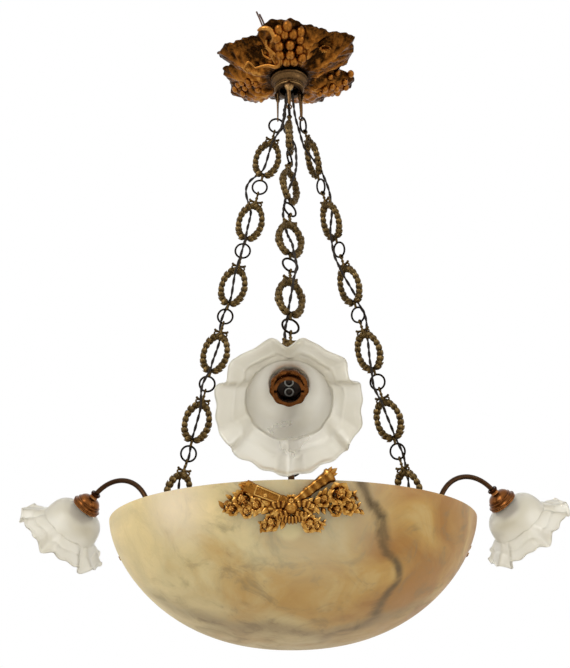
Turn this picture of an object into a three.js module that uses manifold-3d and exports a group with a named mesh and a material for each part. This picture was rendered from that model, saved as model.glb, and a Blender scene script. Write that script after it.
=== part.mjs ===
// Alabaster bowl pendant with three wreath-link chains, three swan-neck arms and ruffled glass shades.
// Millimetres, +Z up. The origin is in the ceiling plane, on the pendant's axis, and everything hangs below.
// The front arm is at azimuth 0, towards -Y; azimuths grow towards +X.
import * as THREE from "three";
import { mergeVertices } from "three/addons/utils/BufferGeometryUtils.js";
import Module from "manifold-3d";

const wasm = await Module();
wasm.setup();

// Clearances: pieces that seat, pieces that hang loose on each other, and how far a cut runs past a face
const seatGap = 0.3;
const looseGap = 0.8;
const overrun = 6;

// Three-fold layout, in degrees
const azimuths = { front: 0, left: -120, right: 120 };

// Bowl: rim radius, depth, wall, how far its rim hangs below the ceiling, powers of its side and floor
const bowlRadius = 210;
const bowlDepth = 138.6;
const bowlWall = 12;
const rimRound = 4;
const rimDrop = 642;
const bowlSidePower = 2.291;
const bowlFloorPower = 1.576;
const bowlSegments = 36;
const bowlOuterRows = 7;
const bowlInnerRows = 4;

// Canopy: the outline's radius at each azimuth, as shares of canopyRadius, going round from the back
const canopyRadius = 100;
const canopyHeight = 26.4;
const canopyWall = 3;
const canopyHoleRadius = 9;
const canopySeatRadius = 29;
const canopyOutlineShares = [
  [-172, 0.84], [-155, 0.82], [-144, 1.03], [-128, 1.04], [-112, 0.94], [-94, 0.92], [-85, 0.83], [-72, 1.05],
  [-50, 0.89], [-35, 0.76], [-20, 0.97], [0, 0.98], [18, 0.88], [36, 0.92], [56, 1.06], [76, 0.89],
  [88, 0.78], [99, 0.72], [108, 0.96], [124, 1.03], [140, 0.95], [156, 0.98], [167, 0.89],
];
const leafBulge = 1.03;
const leafSwell = 4;
const grapeRadius = 7;
const smallGrapeRadius = 5.5;

// Crown cap and its three strap hooks
const crownRadius = 26;
const crownFootRadius = 20;
const crownHeight = 18;
const crownPlate = 2.7;
const crownWall = 3;
const hookThickness = 2.5;
const hookTopWidth = 7;
const hookWaistWidth = 4.4;
const hookEyeRadius = 3.8;
const hookHoleRadius = 2.2;
const hookPivotRadius = 18.5;
const hookPivotDrop = 84;

// Ceiling bar with its hook, hanging loop, suspension tube, crown nut and terminal block
const barLength = 120;
const barWidth = 20;
const barThickness = 3;
const barHoleSpacing = 100;
const barHoleRadius = 2.2;
const ceilingHookWire = 1.6;
const ceilingHookRadius = 4.6;
const ceilingHookShank = 6.5;
const loopRadius = 4.2;
const loopWire = 1.4;
const loopCollarRadius = 8;
const loopCollarHeight = 5.5;
const tubeRadius = 5;
const tubeBoreRadius = 3.4;
const tubeLength = 20;
const tubeEntry = 4;
const nutRadius = 8.6;
const nutHeight = 4;
const blockLength = 22;
const blockWidth = 15;
const blockHeight = 9;
const blockBoreRadius = 2;
const blockOffset = 36;
const blockBoreDepth = 5;

// Chains: wire rings and cast wreath links
const wreathsPerChain = 6;
const ringRadius = 9.5;
const ringWire = 1;
const ringSides = 8;
const wreathHeightShare = 0.5684;
const wreathDropShare = 0.5565;
const wreathWidth = 37.5;
const wreathSideBand = 5.6;
const wreathEndBand = 3.6;
const wreathDepth = 4.4;
const wreathLeaves = 5;
const leafTip = 1.5;
const eyeRadius = 2.6;
const eyeWire = 0.8;
const stemWidth = 3.4;
const stemDepth = 3;
const bowHalfWidth = 9;
const bowDrop = 22;
const bowRise = 3;
const bowBar = 2.4;
const tabWidth = 4.6;
const lugInset = 28.8;
const lugPivotRadius = bowlRadius - lugInset;
const lugPivotHeight = 9.5;
// The chain's length follows from its two pivots, and the wreaths' pitch, height and drop from its length
const chainLength = Math.hypot(lugPivotRadius - hookPivotRadius, rimDrop - lugPivotHeight - hookPivotDrop);
const chainPitch = (chainLength - 2 * ringRadius) / wreathsPerChain;
const wreathHeight = wreathHeightShare * chainPitch;
const wreathDrop = wreathDropShare * chainPitch;
// Turn of each wreath about its chain, in degrees from the top down; the last value is the ring on the lug
const chainTurns = {
  front: [85, 57, 28, 28, 15, 5, 0],
  left: [-60, -58, -60, -62, -50, -30, 0],
  right: [-12, 5, 15, 30, 40, 25, 0],
};

// Twin flex, laid out for a chain of pitch flexPitch: points as [distance down the chain, along the wreath's
// width, across the wreath]
const flexPitch = 92.2;
const flexRadius = 1.6;
const flexSteps = 38;
const flexRoutes = {
  front: [
    [-39, 2, 0], [-22, 5, -3], [-3, 4, -7], [18, 1, -8], [38, 0, -8], [49, 0, -5.5], [73, 0, 5.5], [84, 0, 8],
    [110, 3, 8], [131, 0, 8], [141, 0, 5.5], [165, 0, -5.5], [176, 0, -8], [200, -4, -8], [223, 0, -8],
    [233, 0, -5.5], [257, 0, 5.5], [268, 0, 8], [292, 4, 8], [315, 0, 8], [325, 0, 5.5], [350, 0, -5.5],
    [360, 0, -8], [384, -4, -8], [407, 0, -8], [418, 0, -5.5], [442, 0, 5.5], [452, 0, 8], [476, 3, 8],
    [500, 0, 8], [510, 0, 5.5], [534, 0, -5.5], [545, 0, -8], [560, 0, -9], [574, 0, -10.5], [586.7, 0, -13],
  ],
  left: [
    [-39, -2, -1], [-22, -5, -3], [-5, -9, -5], [10, -8.5, -6], [24, -6, -8], [38, -2, -8], [49, -1, -5.5],
    [72, 2, 5.5], [84, 10, 8], [94, 16, 6], [106, 18, 5], [118, 14, 7], [131, 6, 9.5], [141, 3, 5.5],
    [165, 1, -5.5], [176, 0, -8], [200, 0, -8], [223, 1, -8], [233, 1, -5.5], [257, 0, 5.5], [268, 2, 8],
    [292, 5, 8], [315, 1, 8], [325, 0, 5.5], [350, 0, -5.5], [360, 0, -8], [384, 5, -8], [407, 1, -8],
    [418, 0, -5.5], [442, 0, 5.5], [452, 0, 8], [476, -3, 8], [500, 0, 8], [510, 0, 5.5], [534, 0, -5.5],
    [545, -1, -8], [560, -1, -9], [574, 0, -10.5], [586.7, 0, -13],
  ],
  right: [
    [-39, 0, -2.4], [-22, 0, -5.5], [-3, 0, -8], [18, 0, -8], [38, 0, -8], [49, 0, -5.5], [73, 0, 5.5],
    [84, 0, 8], [110, -4, 8], [131, 0, 8], [141, 0, 5.5], [165, 0, -5.5], [176, 0, -8], [200, 4, -8],
    [223, 0, -8], [233, 0, -5.5], [257, 0, 5.5], [268, 0, 8], [292, -5, 8], [315, 0, 8], [325, 0, 5.5],
    [350, 0, -5.5], [360, 0, -8], [384, 4, -8], [407, 0, -8], [418, 0, -5.5], [442, 0, 5.5], [452, 0, 8],
    [476, -3, 8], [500, 0, 8], [510, 0, 5.5], [534, 0, -5.5], [545, 0, -8], [560, 0, -9], [574, 0, -10.5],
    [586.7, 0, -13],
  ],
};

// Supply tails, from the terminal block up past the ceiling plane
const supplyRadius = 1.2;
const supplySteps = 7;
const supplyRoutes = {
  a: [
    [-40, -3.5, -8], [-40, -16, -8], [-40, -32, -8], [-38, -46, -4], [-35, -52, 5], [-34, -53, 18],
    [-38, -54, 32], [-43, -54, 46],
  ],
  b: [
    [-34, -3.5, -8], [-34, -16, -8], [-34, -30, -8], [-33, -42, -4], [-31, -48, 5], [-30, -49, 18],
    [-34, -50, 32], [-39, -50, 45],
  ],
};

// Inner bracket: pad, shelf, stud, arm socket, chain lug and flex gland
const padInset = 31;
const padFace = bowlRadius - padInset;
const padWidth = 16;
const padTop = -8;
const padBottom = -41;
const shelfDepth = 7;
const shelfHeight = 3;
const studRadius = 2.4;
const studDrop = 28;
const studReach = 6;
const footInset = 21;
const footRadius = bowlRadius - footInset;
const socketRadius = 6;
const socketTop = -5;
const socketBottom = -24;
const footDepth = 12;
const lugThickness = 4;
const lugEyeRadius = 4.4;
const lugHoleRadius = 2.4;
const glandReach = 6;
const glandPlace = padFace - glandReach;
const glandRadius = 4;
const glandBore = 2.1;
const glandTop = -9;
const glandBottom = -25;

// Swan-neck arm: foot, sweep out, straight run, bend over, and the straight end in the cup
const armTube = 3.3;
const armSweepRadius = 50;
const armSweepStart = -1;
const armRise = 58;
const armFall = 43;
const armRun = 42.9;
const armBendRadius = 54.5;
const armTail = 3;
const armSteps = 13;
const armEntry = 4.5;

// Gallery cup, lampholder and shade ring, by height along the arm end's axis
const cupCollarRadius = 6.4;
const cupCollarTop = -7;
const cupTop = 1;
const cupShoulder = 8;
const cupShoulderRadius = 15.6;
const cupRim = 18;
const cupRimRadius = 19;
const cupWall = 1.1;
const cupClearance = 0.8;
const cupSides = 14;
const holderRadius = 13.3;
const holderShoulder = 10.4;
const holderLength = 34;
const holderBore = 11.2;
const holderFloor = 20;
const holderSlot = 2.4;
const slotDepth = 9;
const slotTurn = 6;
const contactRadius = 1.9;
const contactHeight = 3;
const contactSpacing = 8;
const shadeRingRadius = 18;
const shadeRingHeight = 5.2;
const shadeRingRibs = 9;
const shadeRingRibDepth = 0.8;

// Shade: neck, shoulder, waist and ruffled edge, by height along the same axis
const neckRadius = 16.5;
const neckBore = 14.4;
const neckTop = 13;
const glassWall = 2.8;
const bodyRadius = 38;
const shoulderHeight = 26;
const waistHeight = 52;
const edgeRadius = 59.5;
const edgeHeight = 71;
const petalSwell = 5;
const petalWave = 16;
const petals = 6;

// Gilt mount on the rim
const mountSpread = 72;
const mountRelief = 9;
const mountChordRise = 2.3;
const mountRoseRadius = 10;
const mountBudRadius = 8;

// Spider, and the leads that lie on it
const hubRadius = 16;
const hubHeight = 6;
const spiderDrop = 37.7;
const spiderWidth = 10;
const spiderThickness = 3;
const leadRadius = 1.4;
const leadSteps = 9;

const radians = THREE.MathUtils.degToRad;

function finish(color, roughness, metalness) {
  return new THREE.MeshStandardMaterial({ color, roughness, metalness, flatShading: true });
}

const alabaster = finish(0xcdb98c, 0.35, 0);
const gilt = finish(0xb8803a, 0.3, 1);
const bronze = finish(0x80602c, 0.45, 1);
const darkBronze = finish(0x3a2c22, 0.45, 1);
const copper = finish(0xb4703c, 0.25, 1);
const frostedGlass = finish(0xe6e6de, 0.4, 0);
const porcelain = finish(0xe8e4d8, 0.3, 0);
const steel = finish(0x8f8f8c, 0.5, 1);
const flexCover = finish(0x1c1a18, 0.7, 0);

// A closed geometry as a solid, turned the right way out
function solid(geometry) {
  let closed = geometry;
  if (geometry.attributes.normal) {
    closed = geometry.clone();
    closed.deleteAttribute("normal");
    closed.deleteAttribute("uv");
    closed = mergeVertices(closed, seatGap / 1000);
  }
  const triVerts = new Uint32Array(closed.index.array);
  const mesh = { numProp: 3, vertProperties: closed.attributes.position.array, triVerts };
  const made = new wasm.Manifold(new wasm.Mesh(mesh));
  if (made.volume() > 0) return made;
  for (let i = 0; i < triVerts.length; i += 3) {
    [triVerts[i + 1], triVerts[i + 2]] = [triVerts[i + 2], triVerts[i + 1]];
  }
  return new wasm.Manifold(new wasm.Mesh(mesh));
}

function surface(made) {
  const out = made.getMesh();
  const geometry = new THREE.BufferGeometry();
  geometry.setAttribute("position", new THREE.BufferAttribute(new Float32Array(out.vertProperties), 3));
  geometry.setIndex(new THREE.BufferAttribute(new Uint32Array(out.triVerts), 1));
  return geometry;
}

function joined(...parts) {
  return surface(parts.map(solid).reduce((all, part) => all.add(part)));
}

function cut(part, ...tools) {
  return surface(tools.map(solid).reduce((left, tool) => left.subtract(tool), solid(part)));
}

function kept(part, space) {
  return surface(solid(part).intersect(solid(space)));
}

function piece(name, geometry, material) {
  const mesh = new THREE.Mesh(surface(solid(geometry)), material);
  mesh.name = name;
  return mesh;
}

// A profile of [radius, height] points turned about Z; it starts and ends on the axis or closes on itself
function turned(profile, segments) {
  const points = profile.map(([r, z]) => new THREE.Vector2(r, z));
  return new THREE.LatheGeometry(points, segments).rotateX(Math.PI / 2);
}

function sleeve(inner, outer, low, high, segments) {
  return turned([[inner, low], [outer, low], [outer, high], [inner, high], [inner, low]], segments);
}

function disc(radius, low, high, segments) {
  return turned([[0, low], [radius, low], [radius, high], [0, high]], segments);
}

// A round bar along a curve
function bar(points, radius, steps, sides) {
  const curve = new THREE.CatmullRomCurve3(points.map((p) => new THREE.Vector3(...p)));
  const section = new THREE.Shape(circlePoints(sides, () => radius));
  return new THREE.ExtrudeGeometry(section, { steps, extrudePath: curve, bevelEnabled: false });
}

// A straight round bar between two points, tapering from one radius to the other
function rod(from, to, radius, endRadius, sides) {
  const a = new THREE.Vector3(...from);
  const b = new THREE.Vector3(...to);
  const way = b.clone().sub(a);
  const geometry = new THREE.CylinderGeometry(endRadius, radius, way.length(), sides);
  const turn = new THREE.Quaternion().setFromUnitVectors(new THREE.Vector3(0, 1, 0), way.clone().normalize());
  return geometry.applyQuaternion(turn).translate(...a.add(b).multiplyScalar(0.5).toArray());
}

// A hole for a pin or tube, whose flats clear the radius
function bore(from, to, radius, sides) {
  const corner = radius / Math.cos(Math.PI / sides);
  return rod(from, to, corner, corner, sides);
}

// A flat outline round Z with a bore through it
function collar(outline, boreRadius, sides, low, high) {
  const corner = boreRadius / Math.cos(Math.PI / sides);
  const shape = new THREE.Shape(outline);
  shape.holes.push(new THREE.Path(circlePoints(sides, () => corner)));
  return new THREE.ExtrudeGeometry(shape, { depth: high - low, bevelEnabled: false }).translate(0, 0, low);
}

function circlePoints(count, radiusOf) {
  return Array.from({ length: count }, (_, i) => {
    const a = (2 * Math.PI * i) / count;
    return new THREE.Vector2(radiusOf(i) * Math.cos(a), radiusOf(i) * Math.sin(a));
  });
}

function block(low, high) {
  const size = high.map((v, i) => v - low[i]);
  const middle = high.map((v, i) => (v + low[i]) / 2);
  return new THREE.BoxGeometry(...size).translate(...middle);
}

// An outline in the XZ plane, given its thickness along Y
function plate(outline, thickness) {
  const shape = new THREE.Shape(outline.map(([x, z]) => new THREE.Vector2(x, z)));
  const geometry = new THREE.ExtrudeGeometry(shape, { depth: thickness, bevelEnabled: false });
  return geometry.translate(0, 0, -thickness / 2).rotateX(Math.PI / 2);
}

// A closed surface like a ring: sections go round its section, rounds go round the ring
function loopSurface(sections, rounds, place) {
  const positions = [];
  const index = [];
  for (let i = 0; i < sections; i += 1) {
    for (let j = 0; j < rounds; j += 1) {
      positions.push(...place(i, j));
      const a = i * rounds + j;
      const b = i * rounds + ((j + 1) % rounds);
      const c = ((i + 1) % sections) * rounds + j;
      const d = ((i + 1) % sections) * rounds + ((j + 1) % rounds);
      index.push(a, b, c, b, d, c);
    }
  }
  const geometry = new THREE.BufferGeometry();
  geometry.setAttribute("position", new THREE.BufferAttribute(new Float32Array(positions), 3));
  geometry.setIndex(index);
  return geometry;
}

// A value between the entries of a table of [place, value]
function between(table, place) {
  const next = Math.max(1, table.findIndex(([at]) => at > place));
  const [a, low] = table[next - 1];
  const [b, high] = table[next];
  return low + (high - low) * THREE.MathUtils.clamp((place - a) / (b - a), 0, 1);
}

// A point at a distance from the axis, at an azimuth
function polar(radius, azimuth, z) {
  const a = radians(azimuth - 90);
  return [radius * Math.cos(a), radius * Math.sin(a), z];
}

// Bowl's side at a depth below the rim; inset gives the inner face and the clearances from either face
function bowlShare(t) {
  return Math.max(0, 1 - t ** bowlFloorPower) ** (1 / bowlSidePower);
}

function bowlFace(inset, rows) {
  const points = [];
  for (let i = 0; i <= rows; i += 1) {
    const t = Math.sin((Math.PI / 2) * (i / rows)) ** 2;
    points.push([i === rows ? 0 : (bowlRadius - inset) * bowlShare(t), -(bowlDepth - inset) * t]);
  }
  return points;
}

function bowlInside(gap) {
  const face = bowlFace(bowlWall + gap, bowlInnerRows);
  return turned([[0, bowlDepth], [face[0][0], bowlDepth], ...face], bowlSegments);
}

function makeBowl() {
  const rim = [
    [bowlRadius - bowlWall, -rimRound], [bowlRadius - bowlWall + rimRound / 2, 0],
    [bowlRadius - rimRound / 2, 0], [bowlRadius, -rimRound],
  ];
  const inner = bowlFace(bowlWall, bowlInnerRows).slice(1).reverse();
  const outer = bowlFace(0, bowlOuterRows).slice(1);
  const holes = Object.values(azimuths).map((azimuth) => {
    const ends = [bowlRadius / 2, bowlRadius + overrun].map((radius) => polar(radius, azimuth, -studDrop));
    return bore(...ends, studRadius + seatGap, 8);
  });
  return cut(turned([...inner, ...rim, ...outer], bowlSegments), ...holes);
}

// Canopy's outline at each entry of the table and half-way between them, where the leaf bulges
function canopyRounds() {
  const [[start, first]] = canopyOutlineShares;
  const table = [...canopyOutlineShares, [start + 360, first]];
  return canopyOutlineShares.flatMap(([azimuth, share], i) => {
    const [nextAzimuth, nextShare] = table[i + 1];
    return [[azimuth, share], [(azimuth + nextAzimuth) / 2, ((share + nextShare) / 2) * leafBulge]];
  });
}

// Height of the canopy's underside from its flat seat (0) to its edge (1); long leaves swell
function canopyUnderside(share, outline) {
  const leaf = leafSwell * Math.sin(Math.PI * share) * ((outline - 0.9) / 0.12);
  return -(canopyWall + (canopyHeight - canopyWall) * (1 - share ** 1.6) + leaf);
}

function makeCanopy() {
  const rounds = canopyRounds();
  const shares = [-1, 0, 0.5, 1];
  const shell = loopSurface(2 * shares.length, rounds.length, (i, j) => {
    const [azimuth, outline] = rounds[j];
    const under = i < shares.length;
    const share = shares[under ? i : 2 * shares.length - 1 - i];
    const edge = outline * canopyRadius - (under || share < 1 ? 0 : canopyWall / 2);
    const r = share < 0 ? canopyHoleRadius : canopySeatRadius + (edge - canopySeatRadius) * share;
    const low = canopyUnderside(Math.max(0, share), outline);
    return polar(r, azimuth, under ? low : Math.min(0, low + canopyWall));
  });
  const grapes = grapePlaces().map(([azimuth, reach, radius]) => {
    const outline = between(rounds, azimuth);
    const share = (reach - canopySeatRadius) / (outline * canopyRadius - canopySeatRadius);
    const z = canopyUnderside(THREE.MathUtils.clamp(share, 0, 1), outline);
    return new THREE.IcosahedronGeometry(radius, 0).translate(...polar(reach, azimuth, z - radius / 4));
  });
  const wide = 2 * canopyRadius;
  const ceiling = block([-wide, -wide, 0], [wide, wide, canopyRadius]);
  return cut(joined(shell, ...grapes), ceiling);
}

// Grapes as [azimuth, distance from the axis, radius]: a bunch at the front, small bunches at the back
function grapePlaces() {
  const places = [];
  for (const [share, count] of [[0.52, 3], [0.67, 3], [0.8, 3], [0.91, 1]]) {
    for (let i = 0; i < count; i += 1) {
      const apart = THREE.MathUtils.radToDeg((2 * grapeRadius) / (share * canopyRadius));
      const spread = (i - (count - 1) / 2) * apart;
      places.push([spread, share * canopyRadius, grapeRadius]);
    }
  }
  for (const azimuth of [-118, 115]) {
    for (const [turn, share] of [[-6, 0.78], [6, 0.84]]) {
      places.push([azimuth + turn, share * canopyRadius, smallGrapeRadius]);
    }
  }
  return places;
}

// Crown cap: flared bell with a moulded foot, and three strap hooks in one casting
function makeCrown() {
  const top = -(canopyHeight + seatGap);
  const foot = top - crownHeight;
  const entry = tubeRadius + 2 * seatGap;
  const lip = crownFootRadius;
  const bell = turned([
    [entry, top], [crownRadius, top], [crownRadius - crownWall / 3, top - crownWall],
    [lip - crownWall / 3, top - 0.6 * crownHeight], [lip, top - 0.75 * crownHeight],
    [lip, top - 0.9 * crownHeight], [lip - crownWall / 3, foot], [lip - 2.4 * crownWall, foot],
    [lip - crownWall, top - crownPlate],
    [entry, top - crownPlate], [entry, top],
  ], 16);
  const hooks = Object.entries(azimuths).map(([side, azimuth]) => strapHook(foot)
    .rotateZ(radians(chainTurns[side][0])).translate(hookPivotRadius, 0, 0).rotateZ(radians(azimuth - 90)));
  return joined(bell, ...hooks);
}

// A strap with an eye for the top ring, its plate across the ring's wire
function strapHook(foot) {
  const pivot = -hookPivotDrop;
  const [top, waist] = [hookTopWidth / 2, hookWaistWidth / 2];
  const strap = plate([
    [-top, foot + crownWall / 2], [top - crownWall, foot + crownWall / 2], [top - crownWall, foot],
    [waist, (foot + pivot) / 2], [waist, pivot], [-waist, pivot], [-waist, (foot + pivot) / 2],
    [-top, foot - crownWall],
  ], hookThickness);
  const middle = pivot - ringWire - seatGap + hookHoleRadius;
  const half = hookThickness / 2;
  const eye = rod([0, -half, middle], [0, half, middle], hookEyeRadius, hookEyeRadius, 8);
  return cut(joined(strap, eye), bore([0, -overrun, middle], [0, overrun, middle], hookHoleRadius, 6));
}

// Heights of the pieces above the canopy
const hookLow = -(barThickness + ceilingHookShank + ceilingHookRadius);
const loopMiddle = hookLow + ceilingHookWire + loopWire + seatGap - loopRadius;
const collarTop = loopMiddle - loopRadius;
const collarLow = collarTop - loopCollarHeight;
const tubeTop = collarLow + tubeEntry - seatGap;
const nutTop = -(canopyHeight + seatGap + crownPlate + seatGap);
const blockTop = -(barThickness + seatGap);

function makeCeilingBar() {
  const half = barLength / 2;
  const strap = block([-half, -barWidth / 2, -barThickness], [half, barWidth / 2, 0]);
  const holes = [-1, 1].map((side) => {
    const x = (side * barHoleSpacing) / 2;
    return bore([x, 0, -barThickness - overrun], [x, 0, overrun], barHoleRadius, 6);
  });
  const bend = [0, 30, 60, 90, 120, 150, 180, 200].map(radians).map((angle) => [
    -ceilingHookRadius * Math.cos(angle), 0, hookLow + ceilingHookRadius * (1 - Math.sin(angle)),
  ]);
  const hook = bar([[-ceilingHookRadius, 0, -barThickness / 2], ...bend], ceilingHookWire, 9, 6);
  return joined(cut(strap, ...holes), hook);
}

function makeHangingLoop() {
  const ring = new THREE.TorusGeometry(loopRadius, loopWire, 5, 12).rotateY(Math.PI / 2)
    .translate(0, 0, loopMiddle);
  const socket = bore([0, 0, collarLow - overrun], [0, 0, collarLow + tubeEntry], tubeRadius + seatGap, 10);
  return joined(ring, cut(disc(loopCollarRadius, collarLow, collarTop, 10), socket));
}

function makeTerminalBlock() {
  const low = [-blockOffset - blockLength / 2, -blockWidth / 2, blockTop - blockHeight];
  const high = [-blockOffset + blockLength / 2, blockWidth / 2, blockTop];
  const bores = Object.values(supplyRoutes).map(([[x, , z]]) => bore(
    [x, blockBoreDepth - blockWidth / 2, z], [x, -blockWidth, z], blockBoreRadius, 6,
  ));
  return cut(block(low, high), ...bores);
}

function makeSuspension(group) {
  group.add(piece("ceiling_bar", makeCeilingBar(), steel));
  group.add(piece("hanging_loop", makeHangingLoop(), steel));
  const tube = sleeve(tubeBoreRadius, tubeRadius, tubeTop - tubeLength, tubeTop, 12);
  group.add(piece("suspension_tube", tube, steel));
  const hexagon = circlePoints(6, () => nutRadius);
  group.add(piece("crown_nut", collar(hexagon, tubeRadius + seatGap, 10, nutTop - nutHeight, nutTop), steel));
  group.add(piece("terminal_block", makeTerminalBlock(), porcelain));
  for (const [letter, route] of Object.entries(supplyRoutes)) {
    group.add(piece(`supply_wire_${letter}`, bar(route, supplyRadius, supplySteps, 8), flexCover));
  }
}

// A leafy oval band in the YZ plane whose outer edge steps from leaf to leaf
function wreathBody() {
  const rounds = 2 * wreathLeaves;
  return loopSurface(4, rounds, (i, j) => {
    const around = (2 * Math.PI * j) / rounds;
    const side = Math.abs(Math.sin(around));
    const band = wreathEndBand + (wreathSideBand - wreathEndBand) * side;
    const section = (Math.PI / 2) * i;
    const tip = i === 0 && j % 2 === 0 ? leafTip : 0;
    const outward = band * (Math.cos(section) - 1) + tip - leafTip;
    const depth = wreathDepth * Math.sin(section);
    const across = (wreathWidth / 2 + outward) * Math.sin(around);
    return [depth, across, (wreathHeight / 2 + outward) * Math.cos(around) - wreathDrop];
  });
}

// A ring of wire whose flats are at ringRadius, standing along the chain
function wireRing(turn, drop) {
  const corner = ringRadius / Math.cos(Math.PI / ringSides);
  return new THREE.TorusGeometry(corner, ringWire, 3, ringSides).rotateZ(Math.PI / ringSides)
    .rotateY(Math.PI / 2).rotateZ(radians(turn)).translate(0, 0, -drop);
}

// A wreath link with the ring that its foot holds; its frame starts at the centre of the ring above
function wreathLink(turnAbove, turnBelow) {
  const eyeMiddle = ringRadius - ringWire - seatGap + eyeRadius - eyeWire;
  const eye = new THREE.TorusGeometry(eyeRadius, eyeWire, 3, 6).rotateX(Math.PI / 2)
    .rotateZ(radians(turnAbove)).translate(0, 0, -eyeMiddle);
  const bandTop = wreathDrop - wreathHeight / 2 + wreathEndBand;
  const bandFoot = wreathDrop + wreathHeight / 2 - wreathEndBand;
  const [half, top, tails] = [stemWidth / 2, -eyeMiddle - eyeRadius + eyeWire / 2, -bowDrop + bowRise];
  const stem = plate([
    [-half, top], [half, top], [half, -bowDrop], [bowHalfWidth, tails], [bowHalfWidth, tails - bowBar],
    [half, -bandTop], [-half, -bandTop], [-bowHalfWidth, tails - bowBar], [-bowHalfWidth, tails],
    [-half, -bowDrop],
  ], stemDepth).rotateZ(Math.PI / 2);
  const ringTop = chainPitch - ringRadius;
  const [side, front] = [tabWidth / 2, stemDepth / 2];
  const tab = block([-front, -side, -ringTop - ringWire], [front, side, -bandFoot]);
  return joined(wreathBody(), eye, stem, tab, wireRing(turnBelow, chainPitch));
}

// The chain's own frame: its origin is the hook's pivot and -Z runs down the chain
function chainFrame() {
  const frame = new THREE.Group();
  frame.position.set(hookPivotRadius, 0, -hookPivotDrop);
  frame.rotation.y = -Math.atan2(lugPivotRadius - hookPivotRadius, rimDrop - lugPivotHeight - hookPivotDrop);
  return frame;
}

function makeChain(side) {
  const frame = chainFrame();
  const turns = chainTurns[side];
  const rings = turns.map((turn, i) => (i === 0 || i === wreathsPerChain ? turn : (turn + turns[i - 1]) / 2));
  frame.add(piece(`${side}_top_ring`, wireRing(rings[0], ringRadius), bronze));
  for (let link = 0; link < wreathsPerChain; link += 1) {
    const geometry = wreathLink(rings[link] - turns[link], rings[link + 1] - turns[link]);
    const mesh = piece(`${side}_wreath_link_${link + 1}`, geometry, bronze);
    mesh.position.z = -(ringRadius + link * chainPitch);
    mesh.rotation.z = radians(turns[link]);
    frame.add(mesh);
  }
  frame.add(piece(`${side}_flex`, bar(flexPoints(side), flexRadius, flexSteps, 8), flexCover));
  return frame;
}

// Where a point of the flex's route lies on this chain: the run past the wreaths stretches, its ends don't
function flexPlace(distance) {
  const [written, real] = [wreathsPerChain * flexPitch, wreathsPerChain * chainPitch];
  const table = [[-rimDrop, -rimDrop], [0, 0], [written, real], [written + rimDrop, real + rimDrop]];
  return between(table, distance);
}

// The flex follows the turns of the wreaths that it is laced through
function flexPoints(side) {
  const turns = chainTurns[side].map((turn, link) => [ringRadius + wreathDrop + link * chainPitch, turn]);
  turns[wreathsPerChain][0] = wreathsPerChain * chainPitch;
  return flexRoutes[side].map(([written, along, across]) => {
    const distance = flexPlace(written);
    const turn = radians(between([...turns, [2 * rimDrop, 0]], distance));
    const [c, s] = [Math.cos(turn), Math.sin(turn)];
    return [across * c - along * s, across * s + along * c, -distance];
  });
}

// Inner bracket in the rim's radial frame: +X outwards, Z from the rim
function makeBracket() {
  const pad = block([padFace, -padWidth / 2, padBottom], [bowlRadius, padWidth / 2, padTop]);
  const shelfWidth = spiderWidth / 2;
  const shelf = block(
    [padFace - shelfDepth, -shelfWidth, padBottom], [bowlRadius, shelfWidth, padBottom + shelfHeight],
  );
  const [low, high] = [[footRadius, 0, socketBottom], [footRadius, 0, socketTop]];
  const socket = rod(low, high, socketRadius, socketRadius, 12);
  const slope = -chainFrame().rotation.y;
  const lift = ringWire + looseGap - lugHoleRadius;
  const [eyeX, eyeZ] = [lugPivotRadius - lift * Math.sin(slope), lugPivotHeight + lift * Math.cos(slope)];
  const neck = footRadius - armTube - looseGap;
  const half = lugThickness / 2;
  const lug = plate([
    [eyeX - lugEyeRadius, eyeZ], [padFace, padTop], [padFace, padBottom / 2],
    [footRadius, padBottom / 2], [footRadius, socketTop - seatGap], [neck, socketTop - seatGap], [neck, eyeZ],
  ], lugThickness);
  const eye = rod([eyeX, -half, eyeZ], [eyeX, half, eyeZ], lugEyeRadius, lugEyeRadius, 10);
  const gland = rod([glandPlace, 0, glandBottom], [glandPlace, 0, glandTop], glandRadius, glandRadius, 8);
  const bridge = block(
    [glandPlace, -half, glandBottom + glandBore], [footRadius, half, glandTop - glandBore],
  );
  const stud = rod([padFace, 0, -studDrop], [studEnd(), 0, -studDrop], studRadius, studRadius, 8);
  return cut(
    joined(kept(joined(pad, shelf, socket, lug, bridge), bowlInside(seatGap)), gland, eye, stud),
    bore([footRadius, 0, socketTop - footDepth], [footRadius, 0, overrun], armTube + seatGap, 8),
    bore([eyeX, -overrun, eyeZ], [eyeX, overrun, eyeZ], lugHoleRadius, 8),
    bore([glandPlace, 0, glandBottom - overrun], [glandPlace, 0, overrun], glandBore, 6),
  );
}

// How far out the bracket's stud reaches, into the back of the gilt mount
function studEnd() {
  return bowlRadius * bowlShare(studDrop / bowlDepth) + studReach;
}

// The arm's centre line as [distance from the axis, height from the rim], and the place of its end
function armPath() {
  const [rise, fall] = [radians(armRise), radians(armFall)];
  const turn = Math.PI / 2 - rise;
  const sweep = (angle) => [
    footRadius + armSweepRadius * (1 - Math.cos(angle)), armSweepStart + armSweepRadius * Math.sin(angle),
  ];
  const [sweepX, sweepZ] = sweep(turn);
  const [runX, runZ] = [sweepX + armRun * Math.cos(rise), sweepZ + armRun * Math.sin(rise)];
  const bend = (angle) => [
    runX + armBendRadius * (Math.sin(rise) - Math.sin(angle)),
    runZ + armBendRadius * (Math.cos(angle) - Math.cos(rise)),
  ];
  const foot = [footRadius, socketTop - footDepth + seatGap];
  const points = [foot, [footRadius, armSweepStart], sweep(turn / 2), [sweepX, sweepZ]];
  for (let i = 0; i <= 8; i += 1) points.push(bend(rise - ((rise + fall) * i) / 8));
  const [bendX, bendZ] = points[points.length - 1];
  const ahead = (length) => [bendX + length * Math.cos(fall), bendZ - length * Math.sin(fall)];
  points.push(ahead(armTail + armEntry));
  return { points, end: ahead(armTail) };
}

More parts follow.
